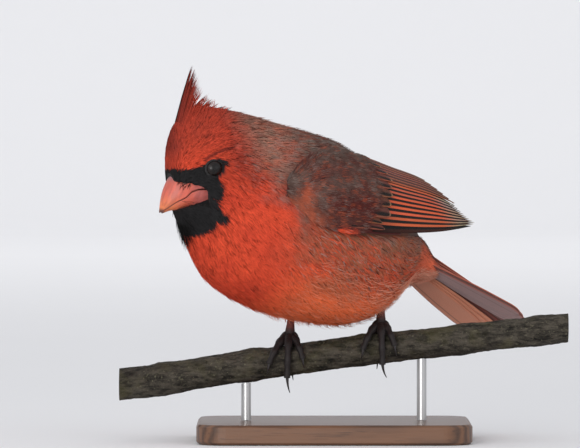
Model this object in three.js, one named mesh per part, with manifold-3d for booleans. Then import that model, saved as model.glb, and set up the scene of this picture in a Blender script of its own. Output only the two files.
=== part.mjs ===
// A male northern cardinal, life size, gripping a short cut length of branch on a plain display stand.
// Millimetres, +Z up. The origin is the centre of the stand's underside.
// The branch runs along X and the bird faces -X, turned a little towards -Y.
import * as THREE from "three";
import { mergeVertices } from "three/addons/utils/BufferGeometryUtils.js";
import Module from "manifold-3d";

const wasm = await Module();
wasm.setup();

// Driving dimensions
const GAP = 0.3; // left between pieces that touch
const MERGE = 1e-4; // points nearer than this are one
const TURN = THREE.MathUtils.degToRad(25); // the bird's heading, from -X towards -Y
const BIRD_UP = 36.7; // height of the bird's own origin above the floor

const BASE = { long: 112, deep: 84, thick: 8, corner: 12 };
const ROD = { radius: 2, apart: 72 };
const PERCH = { up: 35.3, rise: 0.128, from: -88, to: 96, radius: 6.6 };

// Places on the bird are [forward, left, up] from its own origin, or [forward, up] on its middle plane.
const EYE = { at: [59.3, 9.2, 75.2], radius: 3.6 };
const LID = { radius: 3.75, tube: 0.62, out: 2.0, slant: 0.2 }; // a ring "out" past the eye's middle

const WING = { vane: 0.65, lift: 0.28 };
const ARM = { long: 0.56, edge: 0.01, top: 0.3, bulge: 1.2, level: 0.3, under: 0.35, hollow: 5.5 };
const TAIL = { root: [-21, 1.0, 45.3], turn: 7, fall: 29.5, roll: -14, long: 76, pairs: 6, thick: 0.6 };
const SHANK = { root: 1.75, top: 1.45 };
const KNUCKLE = { radius: 2.2, up: 2.3, scale: [1.3, 1.05, 0.92] };
const TOE = { root: 1.55, end: 1.2, clear: 0.25, pads: 3, swell: 0.09 };
const CLAW = { root: 0.92, tip: 0.14, from: 0.93 }; // it starts inside the toe, at that share along it

// Every rib of the plumage runs from a point of the back line to one of the breast line, both [forward, up],
// with its half width. "pear" makes a rib narrower above and wider below.
const PLUMAGE = [
  { back: [74.0, 73.4], breast: [70.8, 57.4], side: 4.6, pear: 0.0 }, // behind the bill
  { back: [74.4, 77.5], breast: [69.8, 54.0], side: 5.8, pear: 0.0 },
  { back: [74.2, 86.0], breast: [68.2, 50.5], side: 7.0, pear: 0.1 }, // forehead
  { back: [70.0, 94.6], breast: [67.0, 46.8], side: 8.6, pear: 0.15 },
  { back: [59.0, 99.6], breast: [65.2, 43.0], side: 11.2, pear: 0.12 }, // crown
  { back: [45.5, 99.0], breast: [62.4, 37.5], side: 14.8, pear: 0.1 },
  { back: [32.0, 96.4], breast: [58.6, 31.4], side: 20.5, pear: 0.08 }, // nape
  { back: [17.0, 92.2], breast: [51.4, 25.0], side: 27.5, pear: 0.05 },
  { back: [1.0, 86.0], breast: [36.4, 17.4], side: 33.0, pear: 0.0 }, // shoulders
  { back: [-13.0, 76.6], breast: [17.0, 12.4], side: 34.0, pear: 0.0 },
  { back: [-24.0, 65.6], breast: [-3.0, 10.4], side: 30.0, pear: 0.0 }, // belly
  { back: [-32.0, 55.6], breast: [-18.5, 15.4], side: 21.5, pear: -0.05 },
  { back: [-38.0, 47.2], breast: [-30.5, 26.2], side: 13.5, pear: -0.1 }, // vent
  { back: [-45.2, 38.4], breast: [-42.0, 27.0], side: 9.5, pear: 0.0 },
  { back: [-53.0, 30.4], breast: [-51.4, 25.6], side: 6.5, pear: 0.0 }, // ends of the tail coverts
];
const HEAD_END = 5.2; // the ribs where one length of the body ends and the next begins
const NECK_END = 6.8;
const TORSO_END = 10;
const BODY_SIDES = 26;

// The bill from inside the face to its tip, with the culmen as its back line and the gonys as its breast line.
const BILL = [
  { back: [60.0, 77.0], breast: [55.0, 57.5], side: 7.6, pear: 0.0 },
  { back: [66.5, 76.5], breast: [60.5, 56.6], side: 7.4, pear: 0.0 },
  { back: [72.9, 72.2], breast: [66.8, 55.9], side: 6.5, pear: 0.1 },
  { back: [75.7, 67.8], breast: [71.2, 55.8], side: 5.0, pear: 0.15 },
  { back: [77.2, 63.2], breast: [74.4, 56.4], side: 3.2, pear: 0.1 },
  { back: [77.9, 58.4], breast: [76.9, 56.4], side: 0.9, pear: 0.0 },
];
// The outline, from the side, of the opening in the face's feathers where the horn shows, [forward, up].
const FACE_OPENING = [
  [84, 74], [73.4, 69.8], [68.4, 69.2], [63.9, 67.8], [61.5, 67.2],
  [61, 60.6], [65.4, 58.6], [71, 56.6], [84, 53],
];
// The line of the mouth from in front of the tip back past the corner, [forward, up].
const MOUTH = [
  [77.0, 53.0], [76.6, 58.2], [72.9, 61.2], [69.0, 63.2], [66.9, 65.4], [64.2, 66.4], [56.0, 66.8],
];
const BILL_BACK = 61.9; // where the horn ends inside the face
const NOSTRIL = { at: [69.6, 6.6, 69.6], radius: 0.8, scale: [1.5, 1, 0.8] };

// Small tools for shapes

const lerp = THREE.MathUtils.lerp;
const { clamp, degToRad, smoothstep } = THREE.MathUtils;
const vector = (x, y, z) => new THREE.Vector3(x, y, z);

// Functions of the numbers 0 to count - 1, as a list.
const listOf = (count, make) => Array.from({ length: count }, (_, i) => make(i));

// The value of a list of stations at a place between them, on a smooth curve through them all.
function through(list, place) {
  const last = list.length - 1;
  const i = Math.min(Math.floor(place), last - 1);
  const s = place - i;
  const at = (k) => list[clamp(k, 0, last)];
  const before = i > 0 ? at(i - 1) : 2 * at(0) - at(1);
  const after = i + 2 <= last ? at(i + 2) : 2 * at(last) - at(last - 1);
  const slope0 = (at(i + 1) - before) / 2;
  const slope1 = (after - at(i)) / 2;
  const rise = at(i + 1) - at(i);
  return at(i) + s * (slope0 + s * (3 * rise - 2 * slope0 - slope1 + s * (slope0 + slope1 - 2 * rise)));
}

// The value of a list at a share of the way along it, on straight lines between its stations.
function between(list, share) {
  const place = share * (list.length - 1);
  const i = Math.min(Math.floor(place), list.length - 2);
  return lerp(list[i], list[i + 1], place - i);
}

// The bird's own frame, [forward, left, up], as x, y, z of its group: it faces -X and its left is -Y.
const point = (forward, left, up) => vector(-forward, -left, up);

// A closed geometry from rings of equally many points, each end closed by a fan to its middle.
function ringed(rings) {
  const sides = rings[0].length;
  const middle = (ring) => ring.reduce((sum, p) => sum.add(p), vector(0, 0, 0)).divideScalar(sides);
  const points = [...rings.flat(), middle(rings[0]), middle(rings.at(-1))];
  const faces = [];
  for (let i = 0; i + 1 < rings.length; i++) {
    for (let j = 0; j < sides; j++) {
      const k = (j + 1) % sides;
      const [a, b, c, d] = [i * sides + j, i * sides + k, (i + 1) * sides + k, (i + 1) * sides + j];
      faces.push(a, b, c, a, c, d);
    }
  }
  const end = (rings.length - 1) * sides;
  for (let j = 0; j < sides; j++) {
    const k = (j + 1) % sides;
    faces.push(points.length - 2, k, j, points.length - 1, end + j, end + k);
  }
  return outward(geometryOf(points, faces));
}

function geometryOf(points, faces) {
  const geometry = new THREE.BufferGeometry().setFromPoints(points);
  geometry.setIndex(faces);
  return geometry;
}

// The geometry with its faces pointing out, turned round if its volume comes out negative.
function outward(geometry) {
  const place = geometry.getAttribute("position");
  const index = geometry.getIndex().array;
  const corner = (i) => new THREE.Vector3().fromBufferAttribute(place, index[i]);
  let volume = 0;
  for (let i = 0; i < index.length; i += 3) {
    volume += corner(i).dot(corner(i + 1).cross(corner(i + 2)));
  }
  if (volume > 0) return geometry;
  for (let i = 0; i < index.length; i += 3) {
    [index[i + 1], index[i + 2]] = [index[i + 2], index[i + 1]];
  }
  return geometry;
}

// A plate between two faces given on a grid of (along, across), with both faces split alike.
function plate(top, under, along, across) {
  const points = [];
  const row = across + 1;
  for (const face of [top, under]) {
    for (let i = 0; i <= along; i++) {
      for (let j = 0; j <= across; j++) points.push(face(i / along, j / across));
    }
  }
  const faces = [];
  const below = (along + 1) * row;
  for (let i = 0; i < along; i++) {
    for (let j = 0; j < across; j++) {
      const [a, b, c, d] = [i * row + j, i * row + j + 1, (i + 1) * row + j + 1, (i + 1) * row + j];
      faces.push(a, b, c, a, c, d);
      faces.push(below + a, below + c, below + b, below + a, below + d, below + c);
    }
  }
  const rim = [];
  for (let i = 0; i < along; i++) rim.push(i * row);
  for (let j = 0; j < across; j++) rim.push(along * row + j);
  for (let i = along; i > 0; i--) rim.push(i * row + across);
  for (let j = across; j > 0; j--) rim.push(j);
  rim.forEach((a, n) => {
    const b = rim[(n + 1) % rim.length];
    faces.push(a, b, below + b, a, below + b, below + a);
  });
  return outward(geometryOf(points, faces));
}

// The mirror image on the bird's other side.
function mirrored(geometry) {
  const copy = geometry.clone().applyMatrix4(new THREE.Matrix4().makeScale(1, -1, 1));
  return outward(copy);
}

// A geometry as a solid to join and cut, and back.
function solid(geometry) {
  const bare = geometry.clone();
  for (const name of ["normal", "uv"]) bare.deleteAttribute(name);
  const merged = mergeVertices(bare, MERGE);
  const triVerts = new Uint32Array(merged.index.array);
  const vertProperties = merged.attributes.position.array;
  return new wasm.Manifold(new wasm.Mesh({ numProp: 3, vertProperties, triVerts }));
}

function geometryOfSolid(made) {
  const mesh = made.getMesh();
  const bare = new THREE.BufferGeometry();
  bare.setAttribute("position", new THREE.BufferAttribute(new Float32Array(mesh.vertProperties), 3));
  bare.setIndex(new THREE.BufferAttribute(new Uint32Array(mesh.triVerts), 1));
  return bare;
}

const join = (pieces) => pieces.reduce((sum, piece) => sum.add(piece));
const largest = (made) => made.decompose().sort((a, b) => b.volume() - a.volume())[0];

// The body

// A rib's ring at a place along a list of ribs, grown all round by "grow" and moved along the spine by "shift".
// It is an ellipse about the middle of its back and breast points, from the back round by the left.
function rib(list, place, sides, grow = 0, shift = 0) {
  const value = (name, k) => through(list.map((r) => (k === undefined ? r[name] : r[name][k])), place);
  const back = point(value("back", 0), 0, value("back", 1));
  const breast = point(value("breast", 0), 0, value("breast", 1));
  const middle = back.clone().add(breast).divideScalar(2);
  const reach = back.clone().sub(breast).divideScalar(2);
  const half = reach.length() + grow;
  reach.normalize();
  const side = value("side") + grow;
  const left = point(0, 1, 0);
  const spine = reach.clone().cross(left).normalize();
  const pear = value("pear");
  return listOf(sides, (j) => {
    const angle = (2 * Math.PI * j) / sides;
    const out = side * Math.sin(angle) * (1 - pear * Math.cos(angle));
    const at = middle.clone().addScaledVector(reach, half * Math.cos(angle));
    return at.addScaledVector(left, out).addScaledVector(spine, shift);
  });
}

// The length of a ribbed body from one place to another. "seams" are how many half gaps its ends are drawn back.
function length(list, from, to, bands, sides, grow = 0, seams = [0, 0]) {
  const shifts = listOf(bands + 1, () => 0);
  shifts[0] = (seams[0] * GAP) / 2;
  shifts[bands] = (-seams[1] * GAP) / 2;
  return ringed(shifts.map((shift, i) => rib(list, lerp(from, to, i / bands), sides, grow, shift)));
}

const PLUMAGE_END = PLUMAGE.length - 1;
function plumage(from, to, bands, grow, seams) {
  return solid(length(PLUMAGE, from, to, bands, BODY_SIDES, grow, seams));
}
const wholeGrown = plumage(0, PLUMAGE_END, 35, GAP, [-2, -2]);

// The ring of a section square to "along": an ellipse, half "wide" towards "across" and half "thick" the other way.
function section(at, along, across, wide, thick, sides) {
  const side = across.clone().addScaledVector(along, -across.dot(along)).normalize();
  const face = along.clone().cross(side);
  return listOf(sides, (k) => {
    const angle = (2 * Math.PI * k) / sides;
    const out = at.clone().addScaledVector(side, wide * Math.cos(angle));
    return out.addScaledVector(face, thick * Math.sin(angle));
  });
}

// A tapered lock of four sides along a path, wide and thick by functions of the way along, ending in a point.
function lock(path, wide, thick, across, bands) {
  const rings = [];
  for (let i = 0; i < bands; i++) {
    const u = i / bands;
    const at = path(u);
    const along = path(u + 0.02).sub(at).normalize();
    rings.push(section(at, along, across, wide(u) / 2, thick(u) / 2, 4));
  }
  rings.push(rings.at(-1).map(() => path(1)));
  return outward(mergeVertices(ringed(rings), MERGE / 10));
}

// The crest: rows of locks from the forehead back over the crown, in two or three columns that close to a narrow fin.
// Pairs of numbers are its front row and its last. "sunk" is how deep the roots lie, "back" how far the front ones
// move back, and "aside" how far the outer columns' roots stand out. "tipAside", "tipBack" and "tipDown" place the
// outer columns' tips from the middle's. "bow" and "arch" bend a lock forward and up.
const CREST = {
  rows: 10, place: [2.1, 4.6], wide: 3.6, thick: 1.5, slim: 0.62, thin: 0.5, sunk: 2.2, back: [2.2, 0],
  aside: [1.9, 3.4], down: 0.8, tipAside: [0.55, 2.6], tipBack: 1.1, tipDown: 1.6,
  bow: [0.9, 0.2], arch: 0.4,
};
const CREST_TIPS = [[63.6, 117.6], [61.6, 113.6], [60.0, 109.0], [57.6, 105.6], [53.2, 102.6], [45.6, 99.6]];

function crestLock(row, column) {
  const share = row / (CREST.rows - 1);
  const outer = Math.abs(column);
  const root = rib(PLUMAGE, lerp(...CREST.place, share), 4, -CREST.sunk)[0];
  root.add(vector(lerp(...CREST.back, share), -column * lerp(...CREST.aside, share), -outer * CREST.down));
  const k = Math.pow(share, 0.9) * (CREST_TIPS.length - 1);
  const tip = point(
    through(CREST_TIPS.map((c) => c[0]), k) - outer * CREST.tipBack,
    column * lerp(...CREST.tipAside, share),
    through(CREST_TIPS.map((c) => c[1]), k) - outer * CREST.tipDown,
  );
  const bow = root.clone().lerp(tip, 0.5).add(vector(-lerp(...CREST.bow, share), 0, CREST.arch));
  const curve = new THREE.QuadraticBezierCurve3(root, bow, tip);
  const wide = (u) => CREST.wide * (1 - CREST.slim * u);
  const thick = (u) => CREST.thick * (1 - CREST.thin * u);
  return solid(lock((u) => curve.getPoint(Math.min(u, 1)), wide, thick, vector(1, 0, 0), 3));
}

// The ring of skin round an eye.
function lid(side) {
  const ring = new THREE.TorusGeometry(LID.radius, LID.tube, 5, 16);
  ring.rotateX(Math.PI / 2).rotateZ(-side * LID.slant);
  return solid(ring.translate(...point(EYE.at[0], side * (EYE.at[1] + LID.out), EYE.at[2]).toArray()));
}

function head() {
  const pieces = [plumage(0, HEAD_END, 13, 0, [0, 1]), lid(1), lid(-1)];
  for (let row = 0; row < CREST.rows; row++) {
    const columns = row % 2 ? [-1, 1] : [-1, 0, 1];
    for (const column of columns) pieces.push(crestLock(row, column));
  }
  const nape = plumage(HEAD_END, NECK_END, 4, GAP, [0, 0]);
  const spaces = [nape, eye(1, GAP), eye(-1, GAP), billCone(GAP), prismAcross(FACE_OPENING)];
  return largest(spaces.reduce((sum, space) => sum.subtract(space), join(pieces)));
}

// The left eye for side 1 and the right for -1.
function eye(side, grow = 0) {
  const ball = new THREE.SphereGeometry(EYE.radius + grow, 14, 9);
  return solid(ball.translate(...point(EYE.at[0], side * EYE.at[1], EYE.at[2]).toArray()));
}

// The whole bill, closed at the mouth. Grown, its tip moves forward too.
const billCone = (grow = 0) => solid(length(BILL, 0, BILL.length - 1, 12, 20, grow, [0, grow ? -2 : 0]));

// A prism across the bird with a given outline from the side.
function prismAcross(outline) {
  const shape = new THREE.Shape(outline.map(([forward, up]) => new THREE.Vector2(-forward, up)));
  const depth = 40;
  const prism = new THREE.ExtrudeGeometry(shape, { depth, bevelEnabled: false });
  return solid(prism.translate(0, 0, -depth / 2).rotateX(Math.PI / 2));
}

// The bill's upper and lower halves, cut along the line of the mouth and ended inside the face.
function billHalves() {
  const above = MOUTH.map(([forward, up]) => [forward, up + GAP / 2]);
  const under = MOUTH.map(([forward, up]) => [forward, up - GAP / 2]).reverse();
  const within = [[BILL_BACK, 90], [BILL_BACK, 40], [0, 40], [0, 90]];
  let halves = billCone().subtract(prismAcross([...above, ...under])).subtract(prismAcross(within));
  for (const side of [1, -1]) {
    const [forward, out, up] = NOSTRIL.at;
    const pit = new THREE.SphereGeometry(NOSTRIL.radius, 8, 6).scale(...NOSTRIL.scale);
    halves = halves.subtract(solid(pit.translate(...point(forward, side * out, up).toArray())));
  }
  return halves
    .decompose()
    .sort((a, b) => b.volume() - a.volume())
    .slice(0, 2)
    .sort((a, b) => b.boundingBox().max[2] - a.boundingBox().max[2]);
}

// The wings

// The folded wing is a sheet between its upper and its lower edge, bowed outwards, from the bend to the tip.
const WING_EDGES = [
  { upper: [34, 26, 72], lower: [35, 28, 62], bow: 3.0 },
  { upper: [15, 20.5, 82.5], lower: [19, 35.4, 51], bow: 5.5 },
  { upper: [-4, 13.5, 80.0], lower: [0, 36.2, 48.2], bow: 6.5 },
  { upper: [-22, 9.5, 74.6], lower: [-19, 30.5, 47.6], bow: 5.6 },
  { upper: [-40, 7.5, 69.0], lower: [-40, 19.5, 48.2], bow: 3.4 },
  { upper: [-57, 6, 58.6], lower: [-61, 8, 50.6], bow: 1.2 },
];
const WING_END = WING_EDGES.length - 1;
const edgeAt = (name, p) => [0, 1, 2].map((k) => through(WING_EDGES.map((e) => e[name][k]), p * WING_END));

// The rows of the wing's feathers, in p along and q down the sheet. "to" lists where the tips end, evenly from the top
// feather to the lowest, and "lower" the top one's and the lowest one's lower edge. "off" is how far they stand off.
const TERTIALS = { count: 3, from: 0.42, to: [0.79, 0.9], lower: [0.15, 0.38], wide: 0.2, off: 0.3, bands: 6 };
const FLIGHTS = {
  count: 9, from: 0.44, to: [0.9, 0.925, 0.95, 0.975, 1.0, 0.97], lower: [0.46, 0.975],
  wide: 0.12, off: -0.1, bands: 6,
};
const GREATER = { count: 6, from: 0.22, to: [0.54, 0.49], lower: [0.24, 0.97], wide: 0.18, off: 0.75, bands: 4 };
const MEDIAN = { count: 5, from: 0.14, to: [0.35, 0.37], lower: [0.24, 0.86], wide: 0.2, off: 1.25, bands: 3 };
const TAPER = { from: 0.72, blunt: 0.5 }; // where a wing feather starts to narrow, and how wide its tip is left

// A point of the left wing's sheet at p along and q down it, moved out by "off".
function wingSheet(p, q, off = 0) {
  const at = (pp, qq) => {
    const [upper, lower] = [edgeAt("upper", pp), edgeAt("lower", pp)];
    const bow = through(WING_EDGES.map((e) => e.bow), pp * WING_END) * Math.sin(Math.PI * qq);
    const [forward, left, up] = upper.map((value, k) => lerp(value, lower[k], qq));
    return point(forward, left + bow * 0.8, up + bow * 0.6);
  };
  const here = at(p, q);
  const step = 0.01;
  const along = at(p + step, q).sub(at(p - step, q));
  const down = at(p, q + step).sub(at(p, q - step));
  return here.addScaledVector(down.cross(along).normalize(), off);
}

// A feather of the wing, from its hidden upper edge to its showing lower one.
function wingVane(row, to, lower) {
  const across = (u, v) => {
    const tip = Math.pow(Math.max(0, (u - TAPER.from) / (1 - TAPER.from)), 2) * (1 - TAPER.blunt);
    return lower - (row.wide / 2) * tip - row.wide * (1 - tip) * (1 - v);
  };
  const face = (side) => (u, v) => {
    const height = row.off + (2 * v - 1) * WING.lift + (side * WING.vane) / 2;
    return wingSheet(lerp(row.from, to, u), across(u, v), height);
  };
  return solid(plate(face(1), face(-1), row.bands, 1));
}

function wingRow(row) {
  return listOf(row.count, (i) => {
    const share = i / (row.count - 1);
    return wingVane(row, between(row.to, share), lerp(...row.lower, share));
  });
}

// The folded arm under the coverts: a pad that bulges over the sheet and fills the space towards the body.
function arm() {
  const fade = (p) => 1 - smoothstep(p, ARM.level, ARM.long);
  const round = (q) => 1 - Math.pow(Math.abs(2 * q - 1), 3);
  const shoulder = (p, q) => wingSheet(p, q, ARM.top + ARM.bulge * fade(p) * round(q));
  const depth = (p, q) => ARM.under + ARM.hollow * round(q) * Math.sin((Math.PI * p) / ARM.long);
  const inside = (p, q) => wingSheet(p, q, -depth(p, q));
  const span = (face) => (u, v) => face(lerp(0, ARM.long, u), lerp(ARM.edge, 1 - ARM.edge, v));
  return solid(plate(span(shoulder), span(inside), 10, 8));
}

// The left wing, cleared of the body.
function wing() {
  const feathers = [TERTIALS, FLIGHTS, GREATER, MEDIAN].flatMap(wingRow);
  return largest(join([arm(), ...feathers]).subtract(wholeGrown));
}

// The tail

// The tail's own frame: out along it, to the bird's left and up from its top, from the root of its feathers.
function tailFrame() {
  const turns = new THREE.Euler(degToRad(TAIL.roll), degToRad(TAIL.fall), degToRad(TAIL.turn), "ZYX");
  return new THREE.Matrix4().makeRotationFromEuler(turns).setPosition(point(...TAIL.root));
}

// The fan: degrees from its middle to the first feather and from each to the next, how much each outer one is shorter
// and lower, half widths at the root and towards the tip, where the tip rounds off, and the curve across a feather.
const FAN = {
  first: 0.9, step: 1.75, shorter: 0.32, lower: 0.42, root: 2.6, wide: 6.4, round: 0.86, cup: 0.0035,
};

// A tail feather: one of a fan about the root, each a little lower than its inner neighbour.
function tailVane(number) {
  const side = number < TAIL.pairs ? -1 : 1;
  const pair = Math.abs(number - (TAIL.pairs - 0.5)) - 0.5;
  const spread = degToRad(side * (FAN.first + pair * FAN.step));
  const long = TAIL.long - FAN.shorter * pair * pair;
  const drop = -FAN.lower * pair - (side < 0 ? FAN.lower / 2 : 0);
  const face = (up) => (u, v) => {
    const reach = long * u;
    const full = lerp(FAN.root, FAN.wide, smoothstep(u, 0, 0.75));
    const tip = Math.sqrt(1 - 0.72 * Math.pow(Math.max(0, (u - FAN.round) / (1 - FAN.round)), 2));
    const across = (2 * v - 1) * full * tip + side * (0.8 + pair * 0.35);
    return vector(
      reach * Math.cos(spread) - across * Math.sin(spread),
      -reach * Math.sin(spread) - across * Math.cos(spread),
      drop - FAN.cup * across * across + (up * TAIL.thick) / 2 - side * (v - 0.5) * 0.25,
    );
  };
  return solid(plate(face(1), face(-1), 8, 2).applyMatrix4(tailFrame()));
}

// The tail, with a block that joins its feathers at the root.
function tail() {
  const root = new THREE.BoxGeometry(7, 9, 3.2).translate(3, 0, -1.2).applyMatrix4(tailFrame());
  return largest(join([...listOf(2 * TAIL.pairs, tailVane), solid(root)]));
}

// The room that the tail takes inside the coverts.
const TAIL_ROOM = { from: -1, to: 52, side: 6, widen: 0.245, above: 1, below: 3.1, slope: 0.048 };
function tailRoom() {
  const face = (up) => (u, v) => {
    const reach = lerp(TAIL_ROOM.from, TAIL_ROOM.to, u);
    const across = (2 * v - 1) * (TAIL_ROOM.side + TAIL_ROOM.widen * Math.max(reach, 0));
    const level = up > 0 ? TAIL_ROOM.above : -TAIL_ROOM.below - TAIL_ROOM.slope * Math.abs(across);
    return vector(reach, -across, level - FAN.cup * across * across);
  };
  return solid(plate(face(1), face(-1), 8, 6).applyMatrix4(tailFrame()));
}

// The branch

// Its middle line: a rising straight line with a wave across and a wave up, each [height, length over 2 pi].
const WAVE = { across: [0.9, 23], up: [0.7, 31] };
const BUD = { at: [-70, -34, 12, 52, 84], swell: 0.55, long: 4.5 };
const BARK = { taper: 0.004, sunk: 0.2, bands: 24, sides: 16 };

function perchAxis(x) {
  const across = WAVE.across[0] * Math.sin(x / WAVE.across[1]);
  const up = WAVE.up[0] * (Math.cos(x / WAVE.up[1]) - 1);
  return vector(x, across, PERCH.up + PERCH.rise * x + up);
}

// Its radius at x: a slight taper, with swellings at old buds.
function perchRadius(x) {
  const bump = (bud) => BUD.swell * Math.exp(-Math.pow((x - bud) / BUD.long, 2));
  const swell = BUD.at.reduce((sum, bud) => sum + bump(bud), 0);
  return PERCH.radius - BARK.taper * x + swell;
}

// A point round the branch: "turn" goes from its top over the side of the bird's toes.
function perchPoint(x, turn, out = 0) {
  const radius = perchRadius(x) + out;
  return perchAxis(x).add(vector(0, -radius * Math.sin(turn), radius * Math.cos(turn)));
}

function perch(grow = 0) {
  const grain = (x, turn) => 0.16 * Math.sin(3 * turn + x / 9) + 0.12 * Math.sin(5 * turn - x / 14);
  const ring = (x) =>
    listOf(BARK.sides, (j) => {
      const turn = (2 * Math.PI * j) / BARK.sides;
      return perchPoint(x, turn, grow + grain(x, turn) - BARK.sunk);
    });
  return solid(ringed(listOf(BARK.bands + 1, (i) => ring(lerp(PERCH.from, PERCH.to, i / BARK.bands)))));
}

// The legs

// A round limb along a path, with a radius by the way along.
function limb(path, radius, bands, sides) {
  const rings = listOf(bands + 1, (i) => {
    const u = i / bands;
    const along = path(u + 0.01).sub(path(u - 0.01)).normalize();
    return section(path(u), along, vector(1, 0, 0), radius(u), radius(u), sides);
  });
  return ringed(rings);
}

// Each foot: where it stands along the branch, how its shank leans, and its toes. A toe ends "side" along the branch
// from the foot, wraps round it to "wrap" degrees and hangs "drop" further. The first toe is the hind one.
const FEET = [
  {
    name: "right",
    at: -18.2,
    lean: [1.2, -0.5, 15],
    toes: [
      { side: 1.0, wrap: -96, drop: 2.2, claw: [0.5, 2.6, -5.6] },
      { side: -8.6, wrap: 84, drop: 1.0, claw: [-1.0, 1.2, -4.4] },
      { side: -1.2, wrap: 92, drop: 6.6, claw: [1.2, 1.8, -6.2] },
      { side: 7.6, wrap: 84, drop: 0.8, claw: [1.0, 1.2, -4.2] },
    ],
  },
  {
    name: "left",
    at: 19.2,
    lean: [0.4, 0.8, 15],
    toes: [
      { side: -1.0, wrap: -96, drop: 2.2, claw: [-0.5, 2.6, -5.6] },
      { side: -7.6, wrap: 80, drop: 0.8, claw: [-0.8, 1.2, -4.2] },
      { side: 1.0, wrap: 92, drop: 6.2, claw: [1.8, 2.2, -5.4] },
      { side: 7.4, wrap: 80, drop: 0.8, claw: [1.0, 1.2, -4.2] },
    ],
  },
];

// The middle line of a toe: round the branch from its top, then straight down from where it leaves it.
function toePath(foot, toe) {
  const wrap = degToRad(toe.wrap);
  const clear = TOE.clear + GAP + TOE.root;
  const arc = Math.abs(wrap) * (perchRadius(foot.at) + clear);
  const total = arc + toe.drop;
  return (u) => {
    const gone = u * total;
    const share = Math.min(gone / arc, 1);
    const x = foot.at + toe.side * lerp(0.13, 1, Math.pow(Math.max(u, 0), 0.8));
    const at = perchPoint(x, wrap * share, clear + 0.05 * Math.cos(toe.side));
    at.z -= Math.max(0, gone - arc);
    return at;
  };
}

function toeSolid(foot, toe) {
  const pads = (u) => lerp(TOE.root, TOE.end, u) * (1 + TOE.swell * Math.cos(2 * Math.PI * TOE.pads * u));
  return solid(limb(toePath(foot, toe), pads, 8, 6));
}

// A claw: a hook from inside the toe's end, away from the branch and down to its tip.
function claw(foot, toe, grow = 0) {
  const path = toePath(foot, toe);
  const end = path(1);
  const [aside, under, down] = toe.claw;
  const turn = Math.sign(toe.wrap);
  const tip = end.clone().add(vector(aside, turn * under, down));
  const hook = end.clone().add(vector(aside * 0.1, -turn * 0.4, down * 0.55));
  const curve = new THREE.CubicBezierCurve3(path(CLAW.from), end, hook, tip);
  const radius = (u) => lerp(CLAW.root, CLAW.tip, Math.pow(u, 0.9)) + grow;
  return solid(limb((u) => curve.getPoint(clamp(u, 0, 1)), radius, 5, 6));
}

function leg(foot) {
  const ankle = perchPoint(foot.at, 0, GAP + KNUCKLE.up);
  const top = ankle.clone().add(vector(...foot.lean));
  const shank = limb((u) => ankle.clone().lerp(top, u), (u) => lerp(SHANK.root, SHANK.top, u), 2, 10);
  const knuckle = new THREE.SphereGeometry(KNUCKLE.radius, 11, 7).scale(...KNUCKLE.scale);
  knuckle.translate(...ankle.toArray());
  const pieces = [solid(shank), solid(knuckle), ...foot.toes.map((toe) => toeSolid(foot, toe))];
  const spaces = [...foot.toes.map((toe) => claw(foot, toe, GAP)), perchGrown, bodyInWorld];
  return largest(spaces.reduce((sum, space) => sum.subtract(space), join(pieces)));
}

// The stand

function base() {
  const [l, d, r] = [BASE.long / 2, BASE.deep / 2, BASE.corner];
  const outline = new THREE.Shape();
  outline.moveTo(-l + r, -d);
  outline.absarc(l - r, -d + r, r, -Math.PI / 2, 0);
  outline.absarc(l - r, d - r, r, 0, Math.PI / 2);
  outline.absarc(-l + r, d - r, r, Math.PI / 2, Math.PI);
  outline.absarc(-l + r, -d + r, r, Math.PI, 1.5 * Math.PI);
  const bevel = 1;
  const slab = new THREE.ExtrudeGeometry(outline, {
    depth: BASE.thick - 2 * bevel,
    bevelSize: bevel,
    bevelThickness: bevel,
    bevelOffset: -bevel,
    bevelSegments: 1,
    curveSegments: 6,
  });
  return solid(slab.translate(0, 0, bevel));
}

// A rod from the base up into a notch under the branch.
function rod(side) {
  const x = (side * ROD.apart) / 2;
  const bottom = BASE.thick + GAP;
  const tall = perchAxis(x).z - bottom;
  const bar = new THREE.CylinderGeometry(ROD.radius, ROD.radius, tall, 20).rotateX(Math.PI / 2);
  return largest(solid(bar.translate(x, perchAxis(x).y, bottom + tall / 2)).subtract(perchGrown));
}

// The whole

const finish = (color, roughness, metalness = 0) => new THREE.MeshStandardMaterial({ color, roughness, metalness });
const FINISH = {
  red: finish(0xb8321f, 0.8),
  wing: finish(0x7a3a2c, 0.75),
  tail: finish(0x86453a, 0.75),
  bill: finish(0xd9604a, 0.45),
  eye: finish(0x14100e, 0.1),
  leg: finish(0x3a2a28, 0.7),
  claw: finish(0x1c1715, 0.4),
  bark: finish(0x5a5145, 0.9),
  wood: finish(0x6b4a33, 0.5),
  steel: finish(0x9a9a9a, 0.3, 1),
};

function node(name, made, material) {
  const mesh = new THREE.Mesh(geometryOfSolid(made), material);
  mesh.name = name;
  return mesh;
}

const bird = new THREE.Group();
bird.rotation.z = TURN;
bird.position.z = BIRD_UP;
bird.updateMatrixWorld();
const bodyInWorld = wholeGrown.transform(bird.matrixWorld.elements);
const perchGrown = perch(GAP);

bird.add(node("head", head(), FINISH.red));
bird.add(node("neck", plumage(HEAD_END, NECK_END, 4, 0, [1, 1]), FINISH.red));
bird.add(node("torso", plumage(NECK_END, TORSO_END, 8, 0, [1, 1]), FINISH.red));
const rump = largest(plumage(TORSO_END, PLUMAGE_END, 10, 0, [1, 0]).subtract(tailRoom()));
bird.add(node("rump", rump, FINISH.red));

const [upper, lower] = billHalves();
bird.add(node("bill_upper", upper, FINISH.bill));
bird.add(node("bill_lower", lower, FINISH.bill));
bird.add(node("eye_left", eye(1), FINISH.eye));
bird.add(node("eye_right", eye(-1), FINISH.eye));

const leftWing = wing();
bird.add(node("wing_left", leftWing, FINISH.wing));
bird.add(node("wing_right", solid(mirrored(geometryOfSolid(leftWing))), FINISH.wing));
bird.add(node("tail", tail(), FINISH.tail));

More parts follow.
